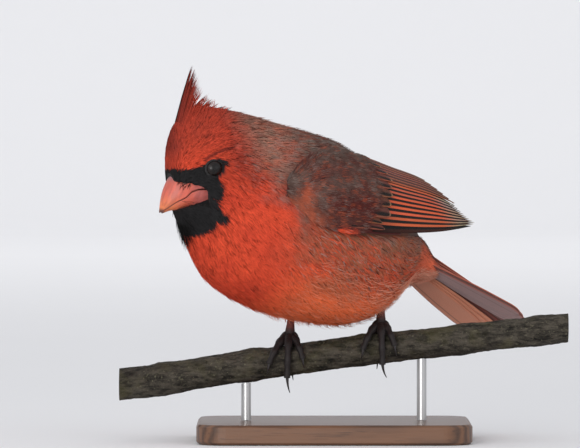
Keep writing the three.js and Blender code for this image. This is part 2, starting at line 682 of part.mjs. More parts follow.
const whole = new THREE.Group();
whole.add(bird);
for (const foot of FEET) {
  whole.add(node("leg_" + foot.name, leg(foot), FINISH.leg));
  foot.toes.forEach((toe, i) => {
    const free = largest(claw(foot, toe).subtract(perchGrown));
    whole.add(node("claw_" + foot.name + "_" + (i + 1), free, FINISH.claw));
  });
}
whole.add(node("perch", perch(), FINISH.bark));
whole.add(node("stand_base", base(), FINISH.wood));
whole.add(node("stand_rod_1", rod(-1), FINISH.steel));
whole.add(node("stand_rod_2", rod(1), FINISH.steel));

export default whole;
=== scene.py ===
import math

import bpy
import numpy as np
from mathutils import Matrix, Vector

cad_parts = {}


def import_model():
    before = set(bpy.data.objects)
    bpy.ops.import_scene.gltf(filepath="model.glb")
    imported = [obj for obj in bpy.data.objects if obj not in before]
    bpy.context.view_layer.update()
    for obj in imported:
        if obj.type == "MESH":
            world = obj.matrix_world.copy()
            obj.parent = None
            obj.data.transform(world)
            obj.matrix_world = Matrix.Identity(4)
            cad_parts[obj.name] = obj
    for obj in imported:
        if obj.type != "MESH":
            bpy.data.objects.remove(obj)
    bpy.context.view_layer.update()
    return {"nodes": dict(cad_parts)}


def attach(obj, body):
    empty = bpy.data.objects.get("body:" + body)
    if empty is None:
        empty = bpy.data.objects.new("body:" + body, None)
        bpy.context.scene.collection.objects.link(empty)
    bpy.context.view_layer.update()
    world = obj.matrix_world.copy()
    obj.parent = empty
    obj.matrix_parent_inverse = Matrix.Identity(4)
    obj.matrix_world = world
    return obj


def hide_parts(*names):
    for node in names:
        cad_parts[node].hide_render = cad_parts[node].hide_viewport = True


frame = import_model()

SEED = 11
RNG = np.random.default_rng(SEED)
TAU = 2 * math.pi
TURN = math.radians(25)  # the bird's turn towards the camera
BIRD_UP = 36.7  # how high the bird's own zero lies over the floor
ROUND = 0.35  # how far a strand's side normals tip outwards
STEP = 1e-3  # a small step for slopes, in ribs and radians


# Shapes are worked out in millimetres, in the bird's own frame: forward, left, up.
# world() turns them into the frame of the part.

def world(p):
    """The bird's frame turned by TURN about the upright and lifted by BIRD_UP."""
    x, y = -p[..., 0], -p[..., 1]
    c, s = math.cos(TURN), math.sin(TURN)
    return np.stack([x * c - y * s, x * s + y * c, p[..., 2] + BIRD_UP], -1)


def turned(v):
    """Directions of the bird's frame in the frame of the part."""
    return world(v) - (0, 0, BIRD_UP)


def vector(*parts):
    """Components, each a number or an array, as one array of vectors."""
    return np.stack(np.broadcast_arrays(*[np.asarray(x, float) for x in parts]), -1)


def unit(v):
    """Vectors of length one."""
    return v / np.maximum(np.linalg.norm(v, axis=-1, keepdims=True), 1e-9)


def lerp(a, b, t):
    """From a at t = 0 to b at t = 1, in a straight line."""
    return a + (b - a) * t


def blend(a, b, share):
    """Rows of colour from a to b, by a share for each that is held between 0 and 1."""
    return a + (b - a) * np.clip(share, 0, 1)[..., None]


def ease(a, b, x):
    """0 below a, 1 above b, and 3k^2 - 2k^3 between them."""
    k = np.clip((x - a) / (b - a), 0, 1)
    return k * k * (3 - 2 * k)


def along(column, t):
    """The Catmull-Rom curve through a column of values, with straight ends."""
    c = np.asarray(column, float)
    c = np.concatenate(([2 * c[0] - c[1]], c, [2 * c[-1] - c[-2]]))
    t = np.asarray(t, float)
    i = np.clip(np.floor(t).astype(int), 0, len(column) - 2)
    s = t - i
    p0, p1, p2, p3 = c[i], c[i + 1], c[i + 2], c[i + 3]
    cubic = 3 * (p1 - p2) + p3 - p0
    return p1 + 0.5 * s * (p2 - p0 + s * (2 * p0 - 5 * p1 + 4 * p2 - p3 + s * cubic))


def noise(p, size):
    """Value noise: hashed numbers at the corners of a grid of that size, blended smoothly. From 0 to 1."""
    q = np.asarray(p, float) / size
    i = np.floor(q)
    f = q - i
    f = f * f * (3 - 2 * f)
    total = 0
    for corner in np.ndindex(2, 2, 2):
        h = np.sin((i + corner) @ np.array([127.1, 311.7, 74.7])) * 43758.5453
        near = [abs(1 - corner[k] - f[..., k]) for k in range(3)]
        total = total + (h - np.floor(h)) * near[0] * near[1] * near[2]
    return total


def shade(code):
    """A colour from its six-figure code, as linear light."""
    s = np.array([int(code[i:i + 2], 16) for i in (0, 2, 4)]) / 255
    return np.where(s <= 0.04045, s / 12.92, ((s + 0.055) / 1.055) ** 2.4)


def table(first, count, second, columns, end=True):
    """Two arrays over a grid: "count" values of the span "first" by "columns" values of the span "second"."""
    return np.meshgrid(np.linspace(*first, count), np.linspace(*second, columns, endpoint=end), indexing="ij")


# Meshes

def faces_out(verts, quads, tris):
    """The faces turned over if the volume that they close comes out negative."""
    def volume(f):
        a, b, c = verts[f[:, 0]], verts[f[:, 1]], verts[f[:, 2]]
        return np.einsum("ij,ij->i", a, np.cross(b, c)).sum()
    total = volume(tris) + volume(quads[:, [0, 1, 2]]) + volume(quads[:, [0, 2, 3]])
    return (quads[:, ::-1], tris[:, ::-1]) if total < 0 else (quads, tris)


def piece(name, verts, quads, tris, look, slot, stands_for=(), paint=None, uv=None, facing=None):
    """A mesh object from arrays in millimetres in the part's frame, with its faces pointing out.
    "paint" is a colour for each vertex, "uv" holds maps by name, and "facing" gives the vertices' normals."""
    tris = np.zeros((0, 3), int) if tris is None else tris
    quads, tris = faces_out(verts, quads, tris)
    corners = np.concatenate([quads.ravel(), tris.ravel()]).astype(np.int32)
    sizes = np.concatenate([np.full(len(quads), 4), np.full(len(tris), 3)]).astype(np.int32)
    mesh = bpy.data.meshes.new(name)
    mesh.vertices.add(len(verts))
    mesh.vertices.foreach_set("co", (verts / 1000).astype(np.float32).ravel())
    mesh.loops.add(len(corners))
    mesh.loops.foreach_set("vertex_index", corners)
    mesh.polygons.add(len(sizes))
    mesh.polygons.foreach_set("loop_start", (np.cumsum(sizes) - sizes).astype(np.int32))
    mesh.polygons.foreach_set("use_smooth", np.full(len(sizes), True))
    for layer, values in (uv or {}).items():
        flat = mesh.uv_layers.new(name=layer)
        flat.uv.foreach_set("vector", values[corners].astype(np.float32).ravel())
    if paint is not None:
        colour = mesh.attributes.new("paint", "FLOAT_COLOR", "POINT")
        full = np.c_[np.clip(paint, 0, 1), np.ones(len(verts))]
        colour.data.foreach_set("color", full.astype(np.float32).ravel())
    mesh.update(calc_edges=True)
    if facing is not None:
        mesh.normals_split_custom_set_from_vertices(facing.reshape(-1, 3))
    obj = bpy.data.objects.new(name, mesh)
    bpy.context.scene.collection.objects.link(obj)
    mesh.materials.append(look)
    if slot:
        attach(obj, "root")
    if stands_for:
        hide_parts(*stands_for)
    return obj


def grid_faces(n, m, join_rows=False, join_columns=False):
    """Quads of a grid of n rows by m columns, whose ends may join."""
    rows, columns = n if join_rows else n - 1, m if join_columns else m - 1
    i, j = np.meshgrid(np.arange(rows), np.arange(columns), indexing="ij")
    below, right = (i + 1) % n, (j + 1) % m
    return np.stack([i * m + j, i * m + right, below * m + right, below * m + j], -1).reshape(-1, 4)


def with_ends(rows):
    """Rows with the first and the final one once more, for the two middle points that lofted() adds."""
    return np.concatenate([rows, rows[:1], rows[-1:]])


def lofted(rings):
    """Quads and triangles that close rings of equal length, (n, m, 3), with a fan to a middle point at
    each end."""
    n, m = rings.shape[:2]
    middles = [rings[0].mean(0, keepdims=True), rings[-1].mean(0, keepdims=True)]
    verts = np.concatenate([rings.reshape(-1, 3), *middles])
    j = np.arange(m)
    k = (j + 1) % m
    first = np.stack([np.full(m, n * m), k, j], -1)
    final = np.stack([np.full(m, n * m + 1), (n - 1) * m + j, (n - 1) * m + k], -1)
    return verts, grid_faces(n, m, join_columns=True), np.concatenate([first, final])


def plates(top, under):
    """Closed plates, one a row, between top and under faces given on grids (count, along, across, 3)."""
    count, n, m = top.shape[:3]
    verts = np.stack([top, under], 1).reshape(-1, 3)
    quad = grid_faces(n, m)
    rim = np.concatenate([
        np.arange(n - 1) * m, (n - 1) * m + np.arange(m - 1),
        np.arange(n - 1, 0, -1) * m + m - 1, np.arange(m - 1, 0, -1),
    ])
    after = np.roll(rim, -1)
    wall = np.stack([rim, after, after + n * m, rim + n * m], -1)
    one = np.concatenate([quad, quad[:, ::-1] + n * m, wall])
    return verts, (one[None] + (np.arange(count) * 2 * n * m)[:, None, None]).reshape(-1, 4)


def vane_map(u, showing):
    """The own map of each vane's two faces: u along from the root, and "showing" across to the edge that
    shows."""
    uv = np.stack(np.broadcast_arrays(u + 0 * showing, showing + 0 * u), -1)
    return {"vane": np.stack([uv, uv], 1).reshape(-1, 2)}


def strand_mesh(centre, side, out, steps, swell, wide, thick):
    """Closed strands round their middle lines centre(u), each of flat triangles, left, ridge, right, and
    a tip. "swell" scales the width and the height at each step. Returns verts and normals (count, rings *
    3 + 1, 3), quads, tris and the share along of each vertex. The normals are "out", tipped a little at
    each side, so that a coat is lit softly as one surface."""
    rows, facing = [], []
    for u, k in zip(steps, swell):
        c = centre(u)
        half = side * (wide * k / 2)[:, None]
        rows += [c - half, c + out * (thick * k), c + half]
        facing += [unit(out - ROUND * side), out, unit(out + ROUND * side)]
    rows.append(centre(1.0))
    facing.append(out)
    share = np.concatenate([np.repeat(np.array(steps, float), 3), [1.0]])
    return np.stack(rows, 1), np.stack(facing, 1), *strand_faces(len(steps), len(side)), share


def slopes(surface, a, b, *grow):
    """A surface's two directions at (a, b), from small steps either way."""
    da = (surface(a + STEP, b, *grow) - surface(a - STEP, b, *grow)) / (2 * STEP)
    db = (surface(a, b + STEP, *grow) - surface(a, b - STEP, *grow)) / (2 * STEP)
    return da, db


def strands(surface, a, b, length, wide, veer, depth, rise, thick, swell, bend=0.0):
    """Tapered strands along a surface(a, b, grow). A strand leaves its root at -depth, runs length at the
    angle veer from the first direction, turning on by bend, and its tip ends at -depth * (1 - rise)."""
    root = surface(a, b, -depth)
    da, db = slopes(surface, a, b, -depth)
    out = unit(np.cross(da, db))
    out = out * np.sign(np.einsum("ij,ij->i", out, surface(a, b, 0.5 - depth) - root))[:, None]
    shortest = 0.5
    la = np.maximum(np.linalg.norm(da, axis=-1), shortest)
    lb = np.maximum(np.linalg.norm(db, axis=-1), shortest)

    def centre(u):
        angle = veer + bend * u
        lift = rise * (1 - (1 - u) ** 2)
        far, across = length * np.cos(angle) * u / la, length * np.sin(angle) * u / lb
        return surface(a + far, b + across, depth * lift - depth)

    side = unit(np.cross(out, centre(1.0) - root))
    return strand_mesh(centre, side, out, (0, 0.5), swell, np.broadcast_to(wide, a.shape), thick)


def strand_faces(rings, count):
    """Quads and triangles of many strands, each of some three-cornered rings and a tip."""
    per = rings * 3 + 1
    quads, tris = [], [[0, 1, 2]]
    for j in range(3):
        k = (j + 1) % 3
        quads += [[r * 3 + k, r * 3 + j, r * 3 + 3 + j, r * 3 + 3 + k] for r in range(rings - 1)]
        tris.append([rings * 3 - 3 + k, rings * 3 - 3 + j, per - 1])
    shift = (np.arange(count) * per)[:, None, None]
    return (np.array(quads)[None] + shift).reshape(-1, 4), (np.array(tris)[None] + shift).reshape(-1, 3)


def tuft_map(a, b, share):
    """The bake map: a patch 0.003 across for each strand, at its root's place on the unwrapped skin."""
    rings = (len(share) - 1) // 3
    across = np.concatenate([np.tile([-1.0, 0.0, 1.0], rings), [0.0]])
    u = np.asarray(a)[:, None] + 0.0015 * across[None]
    v = np.asarray(b)[:, None] + 0.003 * (share[None] - 0.5)
    return np.stack([np.clip(u, 0.001, 0.999), np.clip(v, 0.001, 0.999)], -1).reshape(-1, 2)


def strand_piece(name, made, places, paint, slot="plumage"):
    """A piece of strands from what strand_mesh() gives, their roots' places on the unwrapped skin, and
    their paint."""
    verts, facing, quads, tris, share = made
    bake = {"OFBake": tuft_map(*places, share)}
    flat = world(verts.reshape(-1, 3))
    piece(name, flat, quads, tris, DOWN, slot, (), paint.reshape(-1, 3), bake, turned(facing))


# The body

# Ribs from the bill to the ends of the tail coverts: back point and breast point (each forward, up), half
# width, pear.
RIBS = np.array([
    [74.0, 73.4, 70.8, 57.4, 4.6, 0.0], [74.4, 77.5, 69.8, 54.0, 5.8, 0.0],
    [74.2, 86.0, 68.2, 50.5, 7.0, 0.1], [70.0, 94.6, 67.0, 46.8, 8.6, 0.15],
    [59.0, 99.4, 65.2, 43.0, 11.2, 0.12], [45.5, 98.0, 62.4, 37.5, 14.8, 0.1],
    [32.0, 94.7, 58.6, 31.4, 20.5, 0.08], [17.0, 91.1, 51.4, 25.0, 27.5, 0.05],
    [1.0, 86.0, 36.4, 17.4, 33.0, 0.0], [-13.0, 76.6, 17.0, 12.4, 34.0, 0.0],
    [-24.0, 65.6, -3.0, 10.4, 30.0, 0.0], [-32.0, 55.6, -18.5, 15.4, 21.5, -0.05],
    [-37.0, 48.2, -29.5, 25.2, 14.0, -0.1], [-42.6, 40.4, -38.6, 28.0, 9.4, 0.0],
    [-48.0, 34.2, -46.4, 30.0, 4.0, 0.0],
])
LAST = len(RIBS) - 1
# At each rib: how deep the coat is, and how long and wide its strands are, longest on the flanks and the
# vent.
COAT = [0.4, 0.5, 0.7, 0.9, 1.1, 1.3, 1.5, 1.7, 1.8, 1.8, 1.7, 1.5, 1.2, 0.9, 0.5]
STRAND_LONG = [1.3, 1.5, 2.2, 3.2, 4.2, 5.2, 6.2, 7.0, 7.6, 8.0, 8.0, 7.8, 7.2, 6.5, 5.0]
STRAND_WIDE = [0.22, 0.24, 0.28, 0.32, 0.36, 0.4, 0.44, 0.5, 0.54, 0.56, 0.56, 0.54, 0.5, 0.45, 0.4]


def loft(ribs, t, turn, grow=0.0):
    """A point of a ribbed body. Each rib is an ellipse between its back and breast points, turn 0 at the
    back and pi at the breast, out by side * sin(turn) * (1 - pear * cos(turn)), with half its length and
    its half width grown by grow."""
    ba, bh, fa, fh, side, pear = (along(ribs[:, k], t) for k in range(6))
    ma, mh, ra, rh = (ba + fa) / 2, (bh + fh) / 2, (ba - fa) / 2, (bh - fh) / 2
    half = np.hypot(ra, rh)
    k = (half + grow) / np.maximum(half, 1e-6) * np.cos(turn)
    return vector(ma + ra * k, (side + grow) * np.sin(turn) * (1 - pear * np.cos(turn)), mh + rh * k)


def plumage(t, turn, grow=0.0):
    """A point of the plumage's outer surface, grown by grow."""
    return loft(RIBS, np.clip(t, 0, LAST + 0.25), turn, grow)


def skin_place(t, turn):
    """Where a rib place and a turn lie on the unwrapped skin."""
    return t / LAST, (turn % TAU) / TAU


def inside(points, outline):
    """The signed distance of points from a closed outline (forward, up), positive inside it."""
    a = np.asarray(outline, float)
    b = np.roll(a, -1, 0)
    p = points[:, None, [0, 2]]
    ab = b - a
    k = np.clip(((p - a) * ab).sum(-1) / np.maximum((ab * ab).sum(-1), 1e-9), 0, 1)
    distance = np.linalg.norm(p - a - ab * k[..., None], axis=-1).min(1)
    above = (a[:, 1] > p[..., 1]) != (b[:, 1] > p[..., 1])
    cross = a[:, 0] + (p[..., 1] - a[:, 1]) / np.where(ab[:, 1] == 0, 1e-9, ab[:, 1]) * ab[:, 0]
    odd = (above & (p[..., 0] < cross)).sum(1) % 2 == 1
    return np.where(odd, distance, -distance)


# The black mask from the side, (forward, up): over the bill, round the eye, down behind the gape and
# round the bib.
MASK = [
    (82, 75.6), (76, 75.2), (73.2, 74.4), (70, 74.4), (66.9, 74.9), (62.8, 76.6), (60.3, 78.6),
    (56.2, 79.1), (54.0, 78.0), (53.6, 76.0), (54.3, 73.2), (57.1, 71.3), (56.4, 66.7), (57.6, 62.8),
    (58.2, 60.2), (57.0, 58), (54.6, 55.6), (55.2, 53.2), (58.1, 52.8), (60.5, 50.4), (63.9, 48.2),
    (67.7, 47.4), (82, 46),
]
# The crease over the eye, painted with a dark maroon line as the shade in it.
BROW_SHADE = [
    (63.0, 78.2), (60.6, 80.0), (58.2, 81.2), (55.4, 82.3), (52.0, 83.2), (55.4, 82.1), (58.2, 81.0),
    (60.6, 79.7),
]
# The opening in the face where the horn of the bill shows.
FACE_OPENING = [
    (84, 73.5), (73.2, 69.6), (68.4, 69.0), (63.9, 67.7), (61.7, 66.9), (60.6, 59.9), (67.7, 59.3),
    (72.5, 58.1), (84, 54.6),
]
# The belly's own red is painted lighter here, as painted light thrown up from below onto the underside.
PALETTE = {name: shade(code) for name, code in {
    "scarlet": "d64c30", "red": "bc3c29", "crown": "9a382a", "maroon": "54201d", "nape": "8b6f60",
    "dun": "70645c", "mantle": "5e433c", "belly": "fa7547", "flank": "855a42", "vent": "f0b49a",
    "tail": "da6849", "black": "201f20", "ash": "8b7d76", "ember": "bd5b3c",
}.items()}


def markings(p, t, turn):
    """The plumage's colours at points p with rib place t and turn: red in front, dun over the back,
    mottled flanks, the mask, and the belly's underside painted lighter as painted light from below. Each
    line lays one colour over what is there, where its places and patches say."""
    v = np.cos(turn)
    broad, fine = noise(p, 7.0), noise(p + 40, 2.2)
    a, h = p[..., 0], p[..., 2]
    patch = v + 0.5 * (broad - 0.5)
    crown = ease(0.1, 0.7, v) * (1 - ease(5.2, 6.2, t))
    forehead = ease(69.5, 75.5, a + 0.12 * (h - 84)) * ease(77, 84, h)
    ear = ease(13, 4, np.hypot(a - 45, (h - 76) * 1.1))
    belly = ease(7.2, 8.8, t) * (1 - ease(-0.7, -0.2, v))
    nape = ease(4.2, 5.6, t - 0.8 * ease(0.9, 0.3, v)) * ease(0.1, 0.7, patch)
    dun = ease(5.9, 7.3, t) * ease(-0.05, 0.45, v + 0.7 * (broad - 0.5))
    dun = dun * (1 - ease(8.8, 10.4, t) * ease(0.95, 0.35, v))
    flank = ease(6.6, 8.2, t) * (1 - ease(11.2, 12.2, t))
    flank = flank * ease(-0.85, -0.1, v + 0.6 * (broad - 0.5)) * (1 - ease(0.3, 0.6, v))
    vent = ease(10.2, 11.4, t) * (1 - ease(12.0, 12.8, t)) * ease(0.3, 0.9, -v)
    colour = blend(PALETTE["scarlet"], PALETTE["red"], 0.8 * broad)
    colour = blend(colour, PALETTE["crown"], crown * (0.5 + 0.5 * fine))
    colour = blend(colour, PALETTE["maroon"], forehead * 0.7)
    colour = blend(colour, PALETTE["crown"] * 0.75, ear * (0.4 + 0.5 * fine))
    # Painted light: the belly's own red, made lighter on the underside as if lit from below.
    colour = blend(colour, PALETTE["belly"], belly)
    colour = blend(colour, PALETTE["nape"], nape * (0.6 + 0.4 * fine))
    colour = blend(colour, PALETTE["mantle"], dun)
    colour = blend(colour, PALETTE["dun"], dun * ease(0.35, 0.65, fine))
    colour = blend(colour, PALETTE["flank"], flank * (0.55 + 0.35 * fine))
    colour = blend(colour, PALETTE["vent"], vent * 0.4)
    colour = blend(colour, PALETTE["tail"], ease(11.0, 12.0, t) * (1 - ease(0.3, 0.8, v)))
    colour = blend(colour, PALETTE["maroon"], ease(11.6, 12.4, t) * ease(0.35, 0.6, v) * 0.8)
    # Painted shade: a dark maroon line in the crease over the eye.
    colour = blend(colour, PALETTE["maroon"], ease(0.75, 0.3, -inside(p, BROW_SHADE)) * 0.7)
    ragged = 0.7 * (noise(p + 9, 1.1) - 0.5)
    return blend(colour, PALETTE["black"], ease(-0.35, 0.35, inside(p, MASK) + ragged))


# Looks

class Socket:
    """A node's output in a sum: +, - and * add Math nodes."""

    def __init__(self, look, out):
        self.look, self.out = look, out

    def math(self, kind, a, b):
        """A Math node of a kind, between values or sockets."""
        return self.look.node("ShaderNodeMath", {"operation": kind}, {0: a, 1: b})

    def __add__(self, b):
        return self.math("ADD", self, b)

    def __sub__(self, b):
        return self.math("SUBTRACT", self, b)

    def __mul__(self, b):
        return self.math("MULTIPLY", self, b)

    def __rsub__(self, a):
        return self.math("SUBTRACT", a, self)

    __radd__ = __add__
    __rmul__ = __mul__


class Look:
    """A procedural material with one Principled shader."""

    def __init__(self, name, **fixed):
        self.material = bpy.data.materials.new(name)
        self.material.use_nodes = True
        self.tree = self.material.node_tree
        self.shader = self.tree.nodes["Principled BSDF"]
        for socket, value in fixed.items():
            self.shader.inputs[socket.replace("_", " ")].default_value = value

    def node(self, kind, settings=None, inputs=None, out=0):
        """A node of a kind: its settings first, then its sockets' values or links."""
        made = self.tree.nodes.new(kind)
        for key, value in (settings or {}).items():
            setattr(made, key, value)
        for key, value in (inputs or {}).items():
            if isinstance(value, Socket):
                self.tree.links.new(value.out, made.inputs[key])
            else:
                made.inputs[key].default_value = value
        return Socket(self, made.outputs[out])

    def set(self, socket, value):
        """A socket of the shader linked to a value."""
        self.tree.links.new(value.out, self.shader.inputs[socket])
        return self

    def place(self):
        """The point on the object."""
        return self.node("ShaderNodeTexCoord", out="Object")

    def paint(self):
        """The colour that the mesh carries."""
        return self.node("ShaderNodeAttribute", {"attribute_name": "paint"}, out="Color")

    def noise(self, scale, at=None, detail=3.0, rough=0.6):
        """Layered noise from 0 to 1."""
        return self.node("ShaderNodeTexNoise", None, {
            "Vector": at or self.place(), "Scale": scale, "Detail": detail, "Roughness": rough,
        }, out="Fac")

    def bands(self, way, at, scale, bent, detail):
        """Waves in straight bands, one after another along a direction."""
        return self.node("ShaderNodeTexWave", {"wave_type": "BANDS", "bands_direction": way}, {
            "Vector": at, "Scale": scale, "Distortion": bent, "Detail": detail,
        }, out="Fac")

    def stretched(self, scale):
        """The point on the object, scaled along each direction."""
        return self.node("ShaderNodeMapping", None, {"Vector": self.place(), "Scale": scale})

    def mix(self, a, b, share, kind="MIX"):
        """Colours a and b mixed, each a linked socket or three numbers."""
        a, b = (x if isinstance(x, Socket) else (*x, 1) for x in (a, b))
        settings = {"data_type": "RGBA", "blend_type": kind, "clamp_factor": True}
        return self.node("ShaderNodeMix", settings, {0: share, 6: a, 7: b}, out=2)

    def toned(self, colour, tone):
        """A colour multiplied by a grey."""
        grey = self.node("ShaderNodeCombineColor", None, {0: tone, 1: tone, 2: tone})
        return self.mix(colour, grey, 1.0, "MULTIPLY")

    def step(self, a, b, x):
        """0 below a and 1 above b, smooth between them."""
        inputs = {"Value": x, "From Min": a, "From Max": b}
        return self.node("ShaderNodeMapRange", {"interpolation_type": "SMOOTHSTEP"}, inputs)

    def vane_place(self):
        """The place on a vane's own map: along from the root, and across to the edge that shows."""
        at = self.node("ShaderNodeUVMap", {"uv_map": "vane"})
        apart = self.node("ShaderNodeSeparateXYZ", None, {0: at}).out.node
        return [Socket(self, apart.outputs[k]) for k in range(2)]

    def barbs(self, x, y, slant, scale, bent):
        """Fine bands over a vane's own map, slanting back from the shaft."""
        at = self.node("ShaderNodeCombineXYZ", None, {0: x * 3.0 - y * slant, 1: y, 2: 0.0})
        return self.bands("X", at, scale, bent, 1.0)

    def bump(self, height, distance, strength=1.0):
        """Relief from a height."""
        settings = {"Height": height, "Distance": distance, "Strength": strength}
        return self.set("Normal", self.node("ShaderNodeBump", None, settings))


def feather_look(name, rough=0.75, sheen=0.0):
    """Paint from the mesh, lightened and darkened by fine noise."""
    look = Look(name, Roughness=rough, Sheen_Weight=sheen, Sheen_Roughness=0.5, Specular_IOR_Level=0.12)
    fleck = look.noise(1400.0, detail=2.0)
    tone = fleck * 0.24 + 0.88
    look.set("Base Color", look.toned(look.paint(), tone))
    return look.material


DOWN = feather_look("down")
SKIN = feather_look("skin_under_down", 0.85, 0.1)


def vane_look(name, colours, band, tip, rim=0.965):
    """A long feather on its own map. The web turns dark before the edge that shows, dark as the inner web is
    and as painted shade under the neighbour's covering edge. The edge is darker near the root as painted
    shade under the feathers that cover it, bright in the middle and pale towards the tip, and barbs run back
    from the shaft. The colours are those of the web, of the edge, of the edge's painted shade near the root,
    of the tip, and of the web beside the edge. "band", "tip" and "rim" say where on the map the edge, its
    paler end and the pale end of the feather begin."""
    web, edge, deep, pale, dark = (shade(code) for code in colours)
    look = Look(name, Roughness=0.6, Specular_IOR_Level=0.2)
    x, y = look.vane_place()
    barbs = look.barbs(x, y, 0.45, 26.0, 1.2)
    wander = look.noise(90.0) * 0.05
    thin = look.step(0.6, 1.0, x) * 0.06
    rim_share = look.step(band, band + 0.06, y - thin + wander)
    # Painted shade: the edge is darker near the root, under the feathers that cover it.
    rim_colour = look.mix(look.mix(deep, edge, look.step(0.02, 0.35, x)), pale, look.step(tip, tip + 0.25, x))
    # The dark inner web before the edge, deepened as painted shade under the neighbour's edge.
    body = look.mix(web, dark, look.step(band - 0.3, band - 0.12, y + wander))
    colour = look.mix(body, rim_colour, rim_share)
    colour = look.mix(colour, pale, look.step(rim, rim + 0.03, x) * 0.8)
    colour = look.toned(colour, barbs * 0.3 + 0.85)
    look.set("Base Color", look.mix(colour, look.paint(), 1.0, "MULTIPLY"))
    look.bump(barbs, 0.00008, 0.5)
    return look.material


# In each, the third colour is the edge near the root darkened as painted shade, and the last is the dark inner
# web with painted shade under the neighbour's edge.
FLIGHT = vane_look("flight_vane", ("5a2c22", "e0663f", "a04a34", "b8a288", "140e0c"), 0.74, 0.66)
TERTIAL = vane_look("tertial_vane", ("804d3c", "b5674a", "8c4a38", "a87f62", "4a271f"), 0.86, 0.7)
COVERT = vane_look("covert_vane", ("6a372c", "95503a", "70372a", "bf8562", "1c100d"), 0.84, 0.9, 0.962)


# Skin and coat of the body

def body_skin():
    """The skin: the plumage drawn in by the coat's depth and dented where the horn of the bill shows,
    closed at the face and the tail."""
    place, turn = table((0, LAST), 161, (0, TAU), 120, False)
    rings = plumage(place, turn, -along(COAT, place))
    flat = rings.reshape(-1, 3)
    dent = ease(-0.3, 0.8, inside(flat, FACE_OPENING)).reshape(place.shape)
    # The skin carries the coat's colours a quarter darker, as painted shade between the strands.
    paint = markings(flat, place.ravel(), turn.ravel()) * 0.75
    rings = rings * vector(1, 1 - 0.4 * dent, 1) - vector(2.5 * dent, 0, 0)
    verts, quads, tris = lofted(world(rings))
    bake = {"OFBake": with_ends(np.stack(skin_place(place.ravel(), turn.ravel()), -1))}
    nodes = ("head", "neck", "torso", "rump")
    piece("skin", verts, quads, tris, SKIN, "plumage", nodes, with_ends(paint), bake)


def scatter(count, density):
    """Places (t, turn) spread over the plumage by area times density(t), by drawing and keeping."""
    draws = count * 6
    t = RNG.uniform(0, LAST, draws)
    turn = RNG.uniform(0, TAU, draws)
    area = np.linalg.norm(np.cross(*slopes(plumage, t, turn)), axis=-1) * density(t)
    keep = np.nonzero(RNG.uniform(0, np.quantile(area, 0.995), len(t)) < area)[0][:count]
    return t[keep], turn[keep]


def feathers(count, each, traits):
    """For strands in feathers of "each": chance traits that the strands of a feather share, and their
    spread, -1 to 1."""
    own = np.repeat(RNG.normal(0, 1, (count // each, traits)), each, 0)
    return own, np.tile(np.linspace(-1, 1, each), count // each)


# The wings

# From the shoulder to the tip: the upper edge (forward, left, up), the lower edge (the same), and the bow
# between them.
WING = np.array([
    [34, 26, 72, 35, 28, 62, 3.0], [15, 20.5, 82.5, 19, 35.4, 51, 5.5],
    [-4, 13.5, 80.0, 0, 36.2, 48.2, 6.5], [-22, 9.5, 74.6, -19, 30.5, 47.6, 5.6],
    [-40, 7.5, 69.0, -40, 19.5, 48.2, 3.4], [-57, 6, 58.6, -61, 8, 50.6, 1.2],
])
SIDES = {"left": 1, "right": -1}
ARM_END = 0.56  # where the folded arm ends, as a share of the wing's length


def wing(p, q, off=0.0):
    """The left wing's sheet: straight across between its upper and lower edges, bowed out by bow * sin(pi
    q), and moved out by off."""
    def at(pp, qq):
        c = [along(WING[:, k], pp * (len(WING) - 1)) for k in range(7)]
        bow = c[6] * np.sin(math.pi * qq)
        return vector(lerp(c[0], c[3], qq), lerp(c[1], c[4], qq) + 0.8 * bow, lerp(c[2], c[5], qq) + 0.6 * bow)
    e = 0.01
    out = unit(np.cross(at(p, q + e) - at(p, q - e), at(p + e, q) - at(p - e, q)))
    return at(p, q) + out * np.asarray(off, float)[..., None]


def mirrored(points, side):
    """Points of the left side as they are for side 1, and on the right for side -1."""
    return points * (1, side, 1)


def arm_top(p, q):
    """How far the folded arm stands out from the wing's sheet: full over the forearm, and sunk at the
    front and the lower edge."""
    full = (1 - ease(0.3, ARM_END, p)) * (1 - np.abs(2 * q - 1) ** 3)
    front = 1 - ease(0, 0.14, p)
    below = ease(0.8, 1, q) * (1 - ease(0.25, 0.4, p))
    return -0.1 + 0.9 * full - 1.8 * front - 1.5 * below


